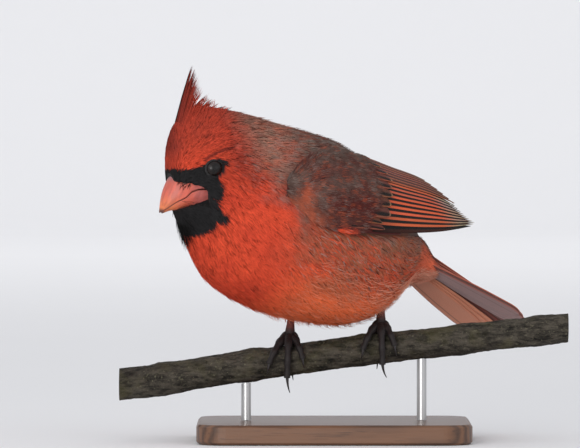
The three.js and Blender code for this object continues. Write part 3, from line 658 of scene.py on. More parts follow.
def covert_coat(name, side):
    """The small coverts: feathers of a few strands each over the arm, dun above, dark with red streaks
    below, and red at the front."""
    each, depth = 6, 1.3
    n = 2600
    p, q = RNG.uniform(0.0, 0.42, n), RNG.uniform(0.0, 1.0, n)
    keep = p < lerp(0.42, 0.33, ease(0.6, 1.0, q))
    p, q = np.repeat(p[keep], each), np.repeat(q[keep], each)
    n = len(p)
    own, fan = feathers(n, each, 3)
    long = 6.0 * (0.9 + 0.1 * own[:, 0]) * (1 - 0.15 * np.abs(fan)) * RNG.uniform(0.8, 1.1, n)
    veer = 0.12 * own[:, 1] + 0.2 * fan + RNG.normal(0, 0.06, n)

    def cover(a, b, grow):
        return mirrored(wing(a, b, arm_top(np.clip(a, 0, 1), b) + depth + np.asarray(grow)), side)

    lift = np.clip(0.85 + 0.06 * own[:, 2], 0.6, 1)
    made = strands(cover, p, q, long, 0.38 * RNG.uniform(0.8, 1.15, n), veer, depth, lift, 0.16, (0.9, 0.95))
    at = wing(p, q)
    broad, fine = noise(at, 6.0), noise(at + 20, 2.0)
    low = ease(0.45, 0.75, q) * ease(0.08, 0.2, p)
    front = ease(0.6, 0.9, q + 0.5 * (broad - 0.5)) * (1 - ease(0.06, 0.2, p))
    edge = ease(0.96, 0.98, q) * ease(0.2, 0.23, p) * (1 - ease(0.27, 0.3, p))
    base = blend(PALETTE["mantle"] * 0.85, PALETTE["dun"] * 0.8, ease(0.3, 0.7, fine) * 0.5)
    base = blend(base, PALETTE["maroon"], ease(0.35, 0.75, broad) * 0.6)
    base = blend(base, PALETTE["maroon"] * 0.8, low * 0.7)
    base = blend(base, PALETTE["ember"], front * 0.6)
    base = blend(base, PALETTE["scarlet"], edge)
    pick = np.repeat(RNG.random(n // each), each)
    base = blend(base, PALETTE["ash"], (pick < 0.14) * 0.3)
    base = blend(base, PALETTE["ember"], (pick > 0.88) * 0.35)
    light = (1 + 0.08 * own[:, 0] + RNG.normal(0, 0.14, n))[:, None, None]
    # Painted shade: each strand darker at its root, under the strands that lie over it, and lighter at its tip.
    paint = base[:, None] * light * lerp(0.75, 1.05, made[-1])[None, :, None]
    places = np.clip(p, 0, 1), np.clip(q, 0, 1)
    strand_piece("wing_" + name + "_small_coverts", made, places, paint, "flight_feathers")


def wing_vanes(name, side, rows, look, thick, along_count, across_count, stands_for=(), last_row_shade=1.0):
    """Feathers on the wing's sheet, each row (from p, to p, lower q, width in q, offset, bluntness), the
    last one darkened by the last factor as painted shade along the wing's lower edge. The lower edge runs
    straight and rounds off at the very tip, and the upper edge comes down to meet it. The upper edge lies
    under its neighbour and the lower edge over the next."""
    start, end, lower, wide, off, blunt = (np.array(c)[:, None, None] for c in zip(*rows))
    u = np.linspace(0, 1, along_count)[None, :, None]
    v = np.linspace(0, 1, across_count)[None, None, :]
    last = np.clip((u - 0.85) / 0.15, 0, 1)
    closing = np.sqrt(np.clip(1 - last ** 2 * 0.94, 0, 1))
    taper = (1 - (1 - blunt) * np.clip((u - 0.55) / 0.45, 0, 1) ** 2) * closing
    edge = lower - wide * 0.3 * blunt * (1 - closing)
    q = edge - wide * taper * (1 - v)
    p = start + (end - start) * u + 0 * v
    camber = 0.22 * (1 - (2 * v - 1) ** 2)
    height = off * ease(0, 0.3, u) + (2 * v - 1) * 0.28 + camber
    half = thick * (0.5 - 0.3 * u) * (1 - 0.5 * np.abs(2 * v - 1) ** 3)
    top, under = wing(p, q, height + half), wing(p, q, height - half)
    verts, quads = plates(mirrored(top, side), mirrored(under, side))
    own = 0.85 + 0.3 * RNG.random((len(rows), 1, 3)) * (1, 0.9, 0.9)
    tone = own * np.ones((1, 2 * along_count * across_count, 3))
    # Painted shade: the lowest feather darkened along the wing's lower edge.
    tone[-1] *= last_row_shade
    paint = tone.reshape(-1, 3) * 0.87
    uv = vane_map(u, v + 0 * start)
    piece(name, world(verts), quads, None, look, "flight_feathers", stands_for, paint, uv)


def wing_pieces(name, side):
    """A folded wing: the arm, the flight feathers, tertials and greater coverts, and the coat of small
    coverts."""
    p, q = table((0.0, ARM_END), 50, (0.01, 0.99), 40)
    top = wing(p, q, arm_top(p, q))
    sunk = 5.0 * (1 - np.abs(2 * q - 1) ** 3) * np.sin(math.pi * np.minimum(1, p / ARM_END))
    under = wing(p, q, np.minimum(arm_top(p, q) - 0.3, -0.35 - sunk))
    verts, quads = plates(mirrored(top, side)[None], mirrored(under, side)[None])
    paint = np.tile(PALETTE["maroon"] * 0.7, (len(verts), 1))
    bake = {"OFBake": np.tile(np.stack([p, q], -1).reshape(-1, 2), (2, 1))}
    piece("wing_" + name + "_arm", world(verts), quads, None, SKIN, "flight_feathers", (), paint, bake)
    n = 10
    share = np.arange(n) / (n - 1)
    to = np.where(share < 0.8, 0.9 + 0.1 * share / 0.8, lerp(1.0, 0.97, (share - 0.8) / 0.2))
    rows = [(0.40, to[i], lerp(0.44, 0.975, share[i]), 0.15, -0.05, 0.4) for i in range(n)]
    # The lowest flight feather is darkened to a twentieth, as painted shade along the wing's lower edge.
    wing_vanes("wing_" + name + "_flight", side, rows, FLIGHT, 0.5, 34, 11, ("wing_" + name,), 0.05)
    n = 6
    rows = [(0.42, lerp(0.76, 0.9, k), lerp(0.1, 0.39, k), 0.14, 0.3, 0.6) for k in np.arange(n) / (n - 1)]
    wing_vanes("wing_" + name + "_tertials", side, rows, TERTIAL, 0.5, 26, 9)
    tips = (0.5, 0.52, 0.53, 0.515, 0.51, 0.495, 0.49)
    rows = [(0.2, tips[i], lerp(0.2, 0.84, i / 6), 0.16, 0.8, 0.85) for i in range(7)]
    rows += [(0.28, 0.445, 0.9, 0.09, 0.7, 0.5), (0.3, 0.46, 0.955, 0.08, 0.5, 0.5)]
    wing_vanes("wing_" + name + "_greater_coverts", side, rows, COVERT, 0.45, 24, 9)
    covert_coat(name, side)


def under_wing(points):
    """Whether each point lies under a folded wing: nearest to the inside of its sheet, and not outside
    the arm."""
    p, q = table((0, 1), 56, (0, 1), 26)
    sheet = wing(p, q)
    out = unit(wing(p, q, np.ones_like(p)) - sheet)
    sheet, out, p, q = sheet.reshape(-1, 3), out.reshape(-1, 3), p.ravel(), q.ravel()
    hidden = np.zeros(len(points), bool)
    folded = vector(points[:, 0], np.abs(points[:, 1]), points[:, 2])
    for part in np.array_split(np.arange(len(points)), max(1, len(points) // 4000)):
        gap = ((folded[part, None] - sheet[None]) ** 2).sum(-1)
        near = gap.argmin(1)
        high = np.einsum("ij,ij->i", folded[part] - sheet[near], out[near])
        within = (p[near] > 0.09) & (p[near] < 0.985) & (q[near] > 0.03) & (q[near] < 0.97)
        hidden[part] = within & (high < arm_top(p[near], q[near]))
    return hidden


# The tail

TAIL = {"root": (-21.0, 1.0, 45.3), "turn": 7, "fall": 29.5, "roll": -14, "long": 76.0, "pairs": 6}


def tail_frame(p):
    """Points of the tail's frame (out along it, to the right, up from its top) in the bird's: rolled, let
    fall, turned and moved to its root."""
    x, y, z = p[..., 0], p[..., 1], p[..., 2]
    r, f, t = (math.radians(TAIL[k]) for k in ("roll", "fall", "turn"))
    y, z = y * math.cos(r) - z * math.sin(r), y * math.sin(r) + z * math.cos(r)
    x, z = x * math.cos(f) + z * math.sin(f), -x * math.sin(f) + z * math.cos(f)
    x, y = x * math.cos(t) - y * math.sin(t), x * math.sin(t) + y * math.cos(t)
    a, s, h = TAIL["root"]
    return vector(a - x, s - y, h + z)


def tail_pieces():
    """Twelve tail feathers in a fan, each a little lower than its inner neighbour, with the middle ones
    arched up near their roots."""
    rows, columns = 40, 11
    number = np.arange(2 * TAIL["pairs"])
    side = np.where(number < TAIL["pairs"], -1.0, 1.0)[:, None, None]
    outer = (np.abs(number - (TAIL["pairs"] - 0.5)) - 0.5)[:, None, None]
    spread = np.radians(side * (0.9 + outer * 1.75))
    long = TAIL["long"] - 0.32 * outer ** 2
    drop = -0.42 * outer - np.where(side < 0, 0.2, 0)
    arch = 6.0 * np.maximum(0, 1 - outer / 3)
    u = np.linspace(0, 1, rows)[None, :, None]
    v = np.linspace(0, 1, columns)[None, None, :]
    full = lerp(2.6, 6.4, ease(0, 0.75, u))
    tip = np.sqrt(np.clip(1 - (np.clip((u - 0.88) / 0.12, 0, 1)) ** 2 * 0.93, 0, 1))
    across = (v - 0.5) * 2 * full * tip + side * (0.8 + outer * 0.35)
    reach = long * u
    shaft = 0.16 * np.exp(-((v - 0.5) / 0.06) ** 2) * (1 - 0.7 * u)

    def face(up):
        """The upper faces for 1 and the lower ones for -1."""
        thick = up * (0.24 - 0.1 * u + shaft)
        level = drop + arch * (1 - u) - 0.0035 * across ** 2 + thick + side * (v - 0.5) * -0.25
        right = -(reach * np.sin(spread) + across * np.cos(spread))
        return tail_frame(vector(reach * np.cos(spread) - across * np.sin(spread), right, level))

    verts, quads = plates(face(1), face(-1))
    showing = np.where(side > 0, v, 0.62 * (1 - v))
    web = np.where(side < 0, shade("cb8467"), shade("9a7a78"))
    web = np.where(outer < 2.5, shade("6c3229"), web)
    tone = web * (0.92 + 0.16 * RNG.random((len(number), 1, 1))) * np.ones((1, 2 * rows * columns, 3))
    paint, uv = tone.reshape(-1, 3), vane_map(u, showing)
    piece("tail_feathers", world(verts), quads, None, TAIL_LOOK, "flight_feathers", ("tail",), paint, uv)


def tail_look():
    """The web's own colour within, then a thin pale red line along it, and dark maroon at the outer edge,
    narrowing to the tip. The shaft is a dark line."""
    look = Look("tail_vane", Roughness=0.6, Sheen_Weight=0.1, Specular_IOR_Level=0.25)
    x, y = look.vane_place()
    barbs = look.barbs(x, y, 0.5, 24.0, 1.0)
    outside = y + x * -0.22 + look.noise(120.0) * 0.02
    beside = look.node("ShaderNodeMath", {"operation": "ABSOLUTE"}, {0: y - 0.5})
    colour = look.mix(look.paint(), shade("b4573f"), look.step(0.52, 0.60, outside) * 0.85)
    colour = look.mix(colour, shade("552a24"), look.step(0.62, 0.68, outside) * 0.85)
    colour = look.mix(colour, shade("c8705a"), look.step(0.95, 0.985, y) * 0.6)
    colour = look.mix(colour, shade("3a2320"), (1 - look.step(0.0, 0.03, beside)) * 0.5)
    look.set("Base Color", look.toned(colour, barbs * 0.2 + 0.9))
    look.bump(barbs, 0.00006, 0.4)
    return look.material


TAIL_LOOK = tail_look()


# The coat

def coat_places(count, density):
    """Places for the coat's feathers: clear of the folded wings, the horn of the bill and the eyes."""
    t, turn = scatter(count, density)
    p = plumage(t, turn)
    keep = ~under_wing(p)
    keep &= inside(p, FACE_OPENING) < -0.15
    keep &= np.hypot(p[:, 0] - EYE[0], p[:, 2] - EYE[2]) > EYE_ROOM
    return t[keep], turn[keep]


def coat():
    """Feathers of a few diverging strands each, thick on the ground, split into pieces from the bill to
    the tail."""
    each, parts, face_end = 5, 8, 4.6
    kept = 1.0
    face = coat_places(int(9500 * kept), lambda t: np.where(t < face_end, 1.0, 0.0) * (1 + 1.2 * ease(4, 1, t)))
    body = coat_places(int(19500 * kept), lambda t: np.where(t >= face_end, 1.0, 0.0))
    t, turn = np.concatenate([face[0], body[0]]), np.concatenate([face[1], body[1]])
    order = np.argsort(t)
    t, turn = np.repeat(t[order], each), np.repeat(turn[order], each)
    n = len(t)
    own, fan = feathers(n, each, 4)
    long = along(STRAND_LONG, t) * (0.9 + 0.08 * own[:, 0]) * (1 - 0.15 * np.abs(fan))
    long = long * RNG.uniform(0.8, 1.1, n)
    v = np.cos(turn)
    lie = -0.9 * ease(0.0, 0.8, v) * (1 - ease(4.0, 5.2, t)) * ease(1.2, 2.2, t)
    breast = 0.4 * ease(3.8, 5.0, t) * (1 - ease(9.5, 11.0, t))
    lie = lie + breast * ease(-1.0, -0.8, v) * (1 - ease(0.1, 0.5, v))
    veer = np.sign(np.sin(turn)) * lie + 0.09 * own[:, 1] + 0.18 * fan + RNG.normal(0, 0.06, n)
    depth = along(COAT, t) + 0.15
    loose = RNG.random(n) < 0.05 + 0.12 * ease(9.8, 10.8, t) * (1 - ease(12, 12.6, t))
    rise = np.clip(0.9 + 0.03 * own[:, 2], 0.7, 1.0) + loose * RNG.uniform(0.1, 0.5, n)
    rise = rise + 0.4 * (RNG.random(n) < 0.4) * ease(3.8, 4.4, t) * (1 - ease(5.4, 6.4, t)) * ease(0.7, 0.95, v)
    long = long * np.where(loose, 1.15, 1.0)
    wide = along(STRAND_WIDE, t) * RNG.uniform(0.75, 1.1, n)
    verts, facing, _, _, share = strands(
        plumage, t, turn, long, wide, veer, depth, rise, 0.14, (0.9, 0.95), 0.08 * own[:, 3],
    )
    base = markings(verts[:, 4], t, turn)
    back = ease(4.4, 6.0, t) * ease(-0.1, 0.4, v) * (1 - ease(11.5, 12.5, t))
    side = ease(6.8, 8.2, t) * ease(-0.8, -0.3, v) * (1 - back) * (1 - ease(11.0, 12.0, t))
    pick = np.repeat(RNG.random(n // each), each)
    base = blend(base, PALETTE["ash"], (pick < 0.2) * 0.4 * back)
    base = blend(base, PALETTE["ember"], (pick > 0.82) * 0.3 * back)
    streak = RNG.random(n)
    base = blend(base, PALETTE["ash"], (streak < 0.1) * 0.7 * side)
    base = blend(base, PALETTE["scarlet"], (streak > 0.72) * 0.6 * side)
    base = blend(base, PALETTE["maroon"], (streak > 0.1) * (streak < 0.24) * (0.6 * side + 0.6 * back))
    head = ease(6.5, 5.0, t)
    dark = np.where(RNG.random(n) < 0.06 + 0.12 * head * ease(2.2, 3.4, t), 0.5, 1.0)
    light = ((1 + 0.05 * own[:, 0] + RNG.normal(0, 1, n) * lerp(0.09, 0.14, head)) * dark)[:, None, None]
    # Painted shade: each strand darker at its root, under the strands that lie over it, and a little lighter at
    # its tip.
    paint = base[:, None] * light * lerp(0.85, 1.06, share)[None, :, None]
    for number, part in enumerate(np.array_split(np.arange(n // each), parts)):
        of = slice(part[0] * each, (part[-1] + 1) * each)
        made = verts[of], facing[of], *strand_faces(2, len(part) * each), share
        strand_piece("coat_" + str(number + 1), made, skin_place(t[of], turn[of]), paint[of])


def fringe():
    """Loose pale strands round the belly's rear, the vent and the thighs, with their tips standing clear."""
    n = 2800
    t = RNG.uniform(8.2, 13.4, n)
    turn = math.pi + RNG.uniform(-1.2, 1.2, n)
    long = RNG.uniform(3.0, 7.5, n)
    veer = RNG.normal(0, 0.25, n) - 0.3 * np.sign(np.sin(turn))
    rise = RNG.uniform(1.1, 2.3, n) + 0.5 * ease(9.5, 10.5, t)
    made = strands(plumage, t, turn, long, 0.26, veer, along(COAT, t), rise, 0.1, (1, 0.8))
    pale = 0.25 + 0.65 * RNG.random(n) * ease(9, 10.5, t)
    base = lerp(markings(made[0][:, 4], t, turn), PALETTE["vent"], pale[:, None])
    # Painted shade: each strand darker at its root, among the other strands, and lighter at its tip.
    paint = base[:, None] * (1 + RNG.normal(0, 0.08, (n, 1, 1))) * lerp(0.8, 1.1, made[-1])[None, :, None]
    strand_piece("coat_fringe", made, skin_place(t, turn), paint)


# The crest

# Where the wisps end along the crest's edge, from its peak to the nape: (forward, up).
CREST_TIPS = np.array([[63.6, 117.6], [61.6, 113.6], [60.0, 109.0], [57.6, 105.6], [53.2, 102.6], [45.6, 99.6]])


def crest():
    """Wisps from the forehead back over the crown. A strand follows the quadratic curve from its own root
    by a bow to the tip of its wisp, and few strands reach the tips along the rear edge, so that light
    shows between them."""
    wisps = 44
    n = 4200
    wisp = RNG.integers(0, wisps, n)
    wisp_share = (np.arange(wisps) / (wisps - 1)) ** 1.3
    wisp_column = RNG.uniform(-1, 1, wisps)
    share = np.clip(wisp_share[wisp] + RNG.normal(0, 0.03, n), 0, 1)
    column = np.clip(wisp_column[wisp] * 0.5 + RNG.uniform(-0.75, 0.75, n), -1, 1)
    rear = ease(0.03, 0.2, share)
    whole = RNG.random(n) < lerp(0.4, 0.07, rear)
    reach = np.where(whole, RNG.uniform(0.8, 1.0, n), RNG.uniform(0.3, 1.0, n) * lerp(0.95, 0.5, rear))
    place = lerp(1.9, 4.7, share)
    turn = column * lerp(0.55, 0.8, share)
    root = plumage(place, turn, -1.0)
    root[:, 0] -= lerp(1.2, 0, share)
    k = wisp_share[wisp] ** 0.9 * (len(CREST_TIPS) - 1)
    narrow = wisp_column[wisp]
    astray = RNG.normal(0, 1, (wisps, 3))[wisp] * vector(lerp(0.15, 0.6, rear), 0.2, lerp(0.2, 0.5, rear))
    forward = along(CREST_TIPS[:, 0], k) - np.abs(narrow) * 0.7
    tip = vector(forward, narrow * lerp(0.5, 2.2, share), along(CREST_TIPS[:, 1], k) - np.abs(narrow) * 0.9)
    tip = tip + astray + RNG.normal(0, 1, (n, 3)) * lerp(0.12, 0.4, rear)[:, None]
    bow = (root + tip) / 2 + vector(lerp(0.9, 0.2, share), 0.28 * root[:, 1], 0.4)

    def path(u):
        u = (u * reach)[:, None]
        return root * (1 - u) ** 2 + bow * 2 * u * (1 - u) + tip * u * u

    out = unit(vector(0, np.sign(column + 1e-6), 0.25))
    side = unit(np.cross(out, path(1.0) - root))
    made = strand_mesh(path, side, out, (0.0, 0.3, 0.6, 0.85), (1.0, 0.9, 0.6, 0.35), np.full(n, 0.34), 0.15)
    up = made[-1]
    base = markings(plumage(place, turn), place, turn)
    front = (1 - ease(0.0, 0.12, share))[:, None]
    base = lerp(base, PALETTE["crown"], 0.35)
    base = lerp(base, PALETTE["maroon"], front * 0.55)
    high = (up[None] * reach[:, None])[..., None]
    # Painted shade: each wisp darker at its root, under the others, and lighter towards its tip.
    base = base[:, None] * (0.95 + 0.2 * up[None, :, None]) * (1 + RNG.normal(0, 0.16, (n, 1, 1)))
    paint = lerp(base, PALETTE["maroon"], 0.3 * ease(0.55, 1.0, high))
    strand_piece("crest", made, skin_place(place, turn), paint)


# The bill

# Ribs of the horn, as in RIBS.
HORN = np.array([
    [60.0, 77.0, 55.0, 58.0, 7.6, 0.0], [66.5, 76.5, 60.5, 58.3, 7.4, 0.0],
    [72.9, 72.2, 66.8, 58.4, 6.5, 0.1], [75.7, 67.8, 71.2, 58.1, 5.0, 0.15],
    [77.2, 63.2, 74.4, 57.6, 3.2, 0.1], [78.3, 57.4, 77.8, 56.4, 0.4, 0.0],
])
# The line between the two halves, (forward, up).
MOUTH = np.array([
    [56.0, 66.8], [64.2, 66.4], [66.9, 65.4], [69.0, 63.2], [72.9, 61.2], [76.6, 58.2], [78.6, 56.6],
])


def horn(t, turn, grow=0.0):
    """A point of the bill's outer surface, grown by grow."""
    return loft(HORN, t, turn, grow)


def mouth_turn(t):
    """The turn at which the horn's surface crosses the line of the mouth, found among many turns between
    the back and the breast."""
    turn = np.linspace(0, math.pi, 400)
    p = horn(t[:, None], turn[None])
    over = p[..., 2] - np.interp(p[..., 0], MOUTH[:, 0], MOUTH[:, 1])
    return turn[np.argmax(over < 0, 1)]


def bill():
    """The two halves of the horn, each an arc of the loft closed by a flat face along the mouth."""
    slit, lower_end = 0.02, 4.75
    t = np.concatenate([np.linspace(0.3, 4.6, 90), np.linspace(4.63, 5.0, 14)])
    meet = mouth_turn(t)[:, None]
    look = bill_look()
    k = np.linspace(-1, 1, 57)[None]
    s = np.linspace(0, 1, 10)[1:-1][None, :, None]
    for node, low in (("bill_upper", False), ("bill_lower", True)):
        turn = math.pi + k * (math.pi - meet - slit) if low else k * (meet - slit)
        shell = horn(t[:, None], turn)
        shut = shell[:, -1:] * (1 - s) + shell[:, :1] * s
        rings = np.concatenate([shell, shut], 1)
        rings = rings[t < lower_end] if low else rings
        verts, quads, tris = lofted(world(rings))
        paint = with_ends(bill_paint(rings.reshape(-1, 3)))
        piece(node + "_horn", verts, quads, tris, look, "bill", (node,), paint)


def bill_paint(p):
    """Pink-red horn, greyer over the culmen's base, more orange towards the tip and the lower edge, and
    dark at the very tip, with painted shade in the nostrils and along the gap of the mouth."""
    a, h = p[:, 0], p[:, 2]
    blotch = ease(0.45, 0.75, noise(p * (1, 1, 0.4) + 0.5 * p[:, [2, 1, 0]], 1.1))
    pit = np.hypot((a - 69.4) / 1.5, (h - 69.2) / 0.8)
    mouth = np.abs(h - np.interp(a, MOUTH[:, 0], MOUTH[:, 1]))
    colour = np.tile(shade("d05c48"), (len(p), 1))
    colour = blend(colour, shade("e07c40"), ease(66, 77, a) * ease(66, 58, h) * 0.9)
    colour = blend(colour, shade("c86c6a"), ease(68, 62, a) * 0.7)
    colour = blend(colour, shade("8a6c74"), ease(68.6, 72.0, h) * ease(5.5, 1.5, np.abs(p[:, 1])) * 0.9)
    colour = blend(colour, shade("83352f"), blotch * 0.35)
    colour = blend(colour, shade("1e0f0d"), ease(2.4, 0.8, np.hypot(a - 78.0, h - 57.0)) * 0.9)
    # Painted shade in the nostrils.
    colour = blend(colour, shade("1c1212"), ease(1.0, 0.5, pit))
    # Painted shade along the gap of the mouth between the two halves.
    return blend(colour, shade("3c1714"), ease(0.5, 0.0, mouth) * 0.9)


def bill_look():
    """Horn with fine upright streaks, and a soft sheen."""
    look = Look(
        "horn", Roughness=0.45, Coat_Weight=0.1, Coat_Roughness=0.35,
        Subsurface_Weight=0.1, Subsurface_Scale=0.002,
    )
    streak = look.noise(500.0, look.stretched((1.0, 1.0, 0.25)), 3.0)
    look.set("Base Color", look.mix(look.paint(), (0.5, 0.22, 0.18), streak * 0.2))
    look.bump(streak, 0.00015, 0.4)
    return look.material


def bristles():
    """Stiff black hairs: forward over the base of the bill and its nostrils, and out and down from the chin.
    Both kinds are black all over, and share the chin's places on the bake map."""
    n = 200
    side = np.where(RNG.random(n) < 0.5, 1, -1)
    t = RNG.uniform(1.0, 1.9, n)
    turn = side * RNG.uniform(0.3, 1.3, n)
    long, veer, rise = RNG.uniform(1.6, 4.0, n), side * RNG.normal(0.3, 0.25, n), RNG.uniform(1.8, 3.2, n)
    nasal = strands(horn, t, turn, long, 0.2, veer, 0.3, rise, 0.12, (1, 0.8))
    t = RNG.uniform(1.2, 3.2, n)
    turn = math.pi + RNG.normal(0, 0.4, n)
    long, veer, rise = RNG.uniform(2.5, 5.0, n), RNG.normal(0, 0.3, n), RNG.uniform(2.0, 9.0, n)
    chin = strands(plumage, t, turn, long, 0.12, veer, 0.4, rise, 0.1, (1, 0.8))
    for name, made in (("bristles_nasal", nasal), ("bristles_chin", chin)):
        strand_piece(name, made, skin_place(t, turn), np.tile(shade("0c0b0b"), (n, len(made[-1]), 1)))


# The eyes

EYE = (58.5, 9.3, 74.9)
EYE_RADIUS = 3.6
EYE_ROOM = 4.0  # how far the coat keeps from the middle of the eye


def ball(centre, radius, rows=40, columns=56, squash=(1, 1, 1)):
    """A sphere as rings from pole to pole, with the poles on the bird's left and right."""
    lat = np.linspace(0, math.pi, rows + 2)[1:-1][:, None]
    lon = np.linspace(0, TAU, columns, endpoint=False)[None]
    x, z = np.sin(lat) * np.cos(lon), np.sin(lat) * np.sin(lon)
    return np.asarray(centre, float) + vector(x * squash[0], np.cos(lat) * squash[1], z * squash[2]) * radius


def eyes():
    """A dark eyeball on each side, with a beaded ring of lid round it: a ring of radius "big", thick as
    the bead."""
    look = Look("eyeball", Roughness=0.3, Specular_IOR_Level=0.3)
    look.set("Base Color", look.mix(look.paint(), (0.02, 0.012, 0.01), look.noise(300.0) * 0.3))
    lid = Look("eyelid", Roughness=0.6, Specular_IOR_Level=0.3)
    lid.set("Base Color", lid.mix(shade("141313"), shade("2c2a2a"), lid.noise(900.0)))
    lid.bump(lid.noise(1500.0), 0.0002, 0.6)
    pupil, round_count, bead_count = 2.1, 72, 14
    for name, side in SIDES.items():
        centre = np.array([EYE[0], EYE[1] * side, EYE[2]])
        rings = ball(centre, EYE_RADIUS, squash=(1.12, 1, 1))
        reach = np.hypot(rings[..., 0] - centre[0], rings[..., 2] - centre[2])
        iris = np.where((reach < pupil)[..., None], shade("050505"), shade("120b09")).reshape(-1, 3)
        verts, quads, tris = lofted(world(rings))
        piece("eyeball_" + name, verts, quads, tris, look.material, "eye", ("eye_" + name,), with_ends(iris))
        a = np.linspace(0, TAU, round_count, endpoint=False)[:, None]
        b = np.linspace(0, TAU, bead_count, endpoint=False)[None]
        bead = 0.45 * (1 + 0.08 * np.sin(a * 24))
        big = 3.5 + bead * np.cos(b)
        off = 1.65 + 0.6 * np.sin(b) * bead / 0.42 * 0.6
        lids = centre + vector(big * np.cos(a) * 1.14, side * off, big * np.sin(a) * 0.98)
        quads = grid_faces(round_count, bead_count, True, True)
        piece("eyelid_" + name, world(lids).reshape(-1, 3), quads, None, lid.material, "eye")


# The branch and the feet, in the part's own frame

PERCH = {"up": 35.3, "rise": 0.128, "from": -88.0, "to": 96.0, "radius": 6.6}
BUDS = (-70, -34, 12, 52, 84)
BARK = 0.3  # how far the bark's relief may stand over the branch's radius


def perch_axis(x):
    """The branch's middle line: a rising straight line with two gentle waves."""
    return vector(x, 0.9 * np.sin(x / 23), PERCH["up"] + PERCH["rise"] * x + 0.7 * np.cos(x / 31) - 0.7)


def perch_radius(x):
    """A slight taper with swellings at old buds."""
    return PERCH["radius"] - 0.004 * x + sum(0.55 * np.exp(-((x - bud) / 4.5) ** 2) for bud in BUDS)


def perch_point(x, turn, out=0.0):
    """A point round the branch, turn 0 on top and on towards the camera's side."""
    radius = perch_radius(x) + out
    return perch_axis(x) + vector(0, -radius * np.sin(turn), radius * np.cos(turn))


def branch():
    """The bark: the branch's own surface with low waves along it, furrows and flecks."""
    x, turn = table((PERCH["from"], PERCH["to"]), 420, (0, TAU), 96, False)
    grain = 0.16 * np.sin(3 * turn + x / 9) + 0.12 * np.sin(5 * turn - x / 14)
    furrow = noise(vector(x / 9, 1.6 * np.cos(turn), 1.6 * np.sin(turn)), 0.5) - 0.5
    fleck = noise(vector(x / 1.6, 5 * np.cos(turn), 5 * np.sin(turn)), 0.9) - 0.5
    verts, quads, tris = lofted(perch_point(x, turn, grain - 0.35 + 0.5 * furrow + 0.35 * fleck))
    look = Look("bark", Roughness=0.9, Specular_IOR_Level=0.2)
    long = look.stretched((0.35, 1.0, 1.0))
    rough = look.noise(420.0, long, 6.0, 0.7)
    speck = look.noise(1100.0, None, 4.0)
    colour = look.mix(shade("14120f"), shade("534d44"), look.step(0.32, 0.68, rough))
    colour = look.mix(colour, shade("77735e"), look.step(0.58, 0.7, speck) * 0.5)
    colour = look.mix(colour, shade("4e4a30"), look.step(0.5, 0.7, look.noise(60.0)) * 0.45)
    colour = look.mix(colour, shade("1f1815"), look.step(0.5, 0.65, look.noise(35.0, long)) * 0.5)
    look.set("Base Color", colour)
    look.bump(rough * 0.7 + speck * 0.3, 0.0014, 0.9)
    piece("branch", verts, quads, tris, look.material, "bark", ("perch",))


# Each foot: its side, its place on the branch, the shank's run, and the toes (aside, wrap in degrees,
# drop, claw).
FEET = (
    ("right", -18.2, (1.2, -0.5, 15.0), (
        (1.0, -96, 2.2, (0.5, 2.6, -5.6)), (-8.4, 84, 1.0, (-1.0, 1.2, -4.4)),
        (-1.0, 92, 6.6, (1.2, 1.8, -6.2)), (5.4, 84, 0.8, (0.7, 1.2, -4.2)),
    )),
    ("left", 19.2, (0.4, 0.8, 15.0), (
        (-1.0, -96, 2.2, (-0.5, 2.6, -5.6)), (-7.4, 80, 0.8, (-0.8, 1.2, -4.2)),
        (0.6, 92, 6.2, (1.8, 2.2, -5.4)), (5.6, 80, 0.8, (0.8, 1.2, -4.2)),
    )),
)
TOE_SIDES = 18


def toe_path(at, side, wrap, drop, u):
    """A toe's middle line: round the branch from its top by wrap degrees, then straight down by drop."""
    clear = 0.25 + BARK + 1.55
    wrap = math.radians(wrap)
    arc = abs(wrap) * (perch_radius(at) + clear)
    gone = u * (arc + drop)
    x = at + side * lerp(0.13, 1, np.maximum(u, 0) ** 0.8)
    p = perch_point(x, wrap * np.minimum(gone / arc, 1), clear + 0.05 * math.cos(side))
    return p - vector(0, 0, np.maximum(0, gone - arc))


def tube(path, radius, sides=TOE_SIDES):
    """Rings round a path (n, 3), square to its run, with a radius (n,) for each."""
    run = unit(np.gradient(path, axis=0))
    side = unit(np.array([1.0, 0, 0]) - run * run[:, :1])
    face = np.cross(run, side)
    a = np.linspace(0, TAU, sides, endpoint=False)[None, :, None]
    return path[:, None] + (side[:, None] * np.cos(a) + face[:, None] * np.sin(a)) * radius[:, None, None]


def scutes(u, count):
    """The swelling of the rings of scales along a shank or toe, from 1 up."""
    return 1 + 0.05 * np.abs(np.sin(u * count * math.pi)) ** 0.5


def joined(shells):
    """The verts, quads and tris of closed shells as those of one mesh."""
    start = np.cumsum([0] + [len(verts) for verts, _, _ in shells])
    verts, quads, tris = zip(*shells)
    return (
        np.concatenate(verts), np.concatenate([q + s for q, s in zip(quads, start)]),
        np.concatenate([t + s for t, s in zip(tris, start)]),
    )


def claw_rings(end, back, claw, turn):
    """A claw round the cubic curve from inside the toe by its end and a hook to its tip, thinning to a
    point."""
    tip = end + (claw[0], turn * claw[1], claw[2])
    hook = end + (claw[0] * 0.1, -turn * 0.4, claw[2] * 0.55)
    w = np.linspace(0, 1, 40)[:, None]
    curve = back * (1 - w) ** 3 + 3 * end * w * (1 - w) ** 2 + 3 * hook * w * w * (1 - w) + tip * w ** 3
    return tube(curve, lerp(0.92, 0.14, w[:, 0] ** 0.9) * (1 - 0.5 * ease(0.97, 1, w[:, 0])), 14)


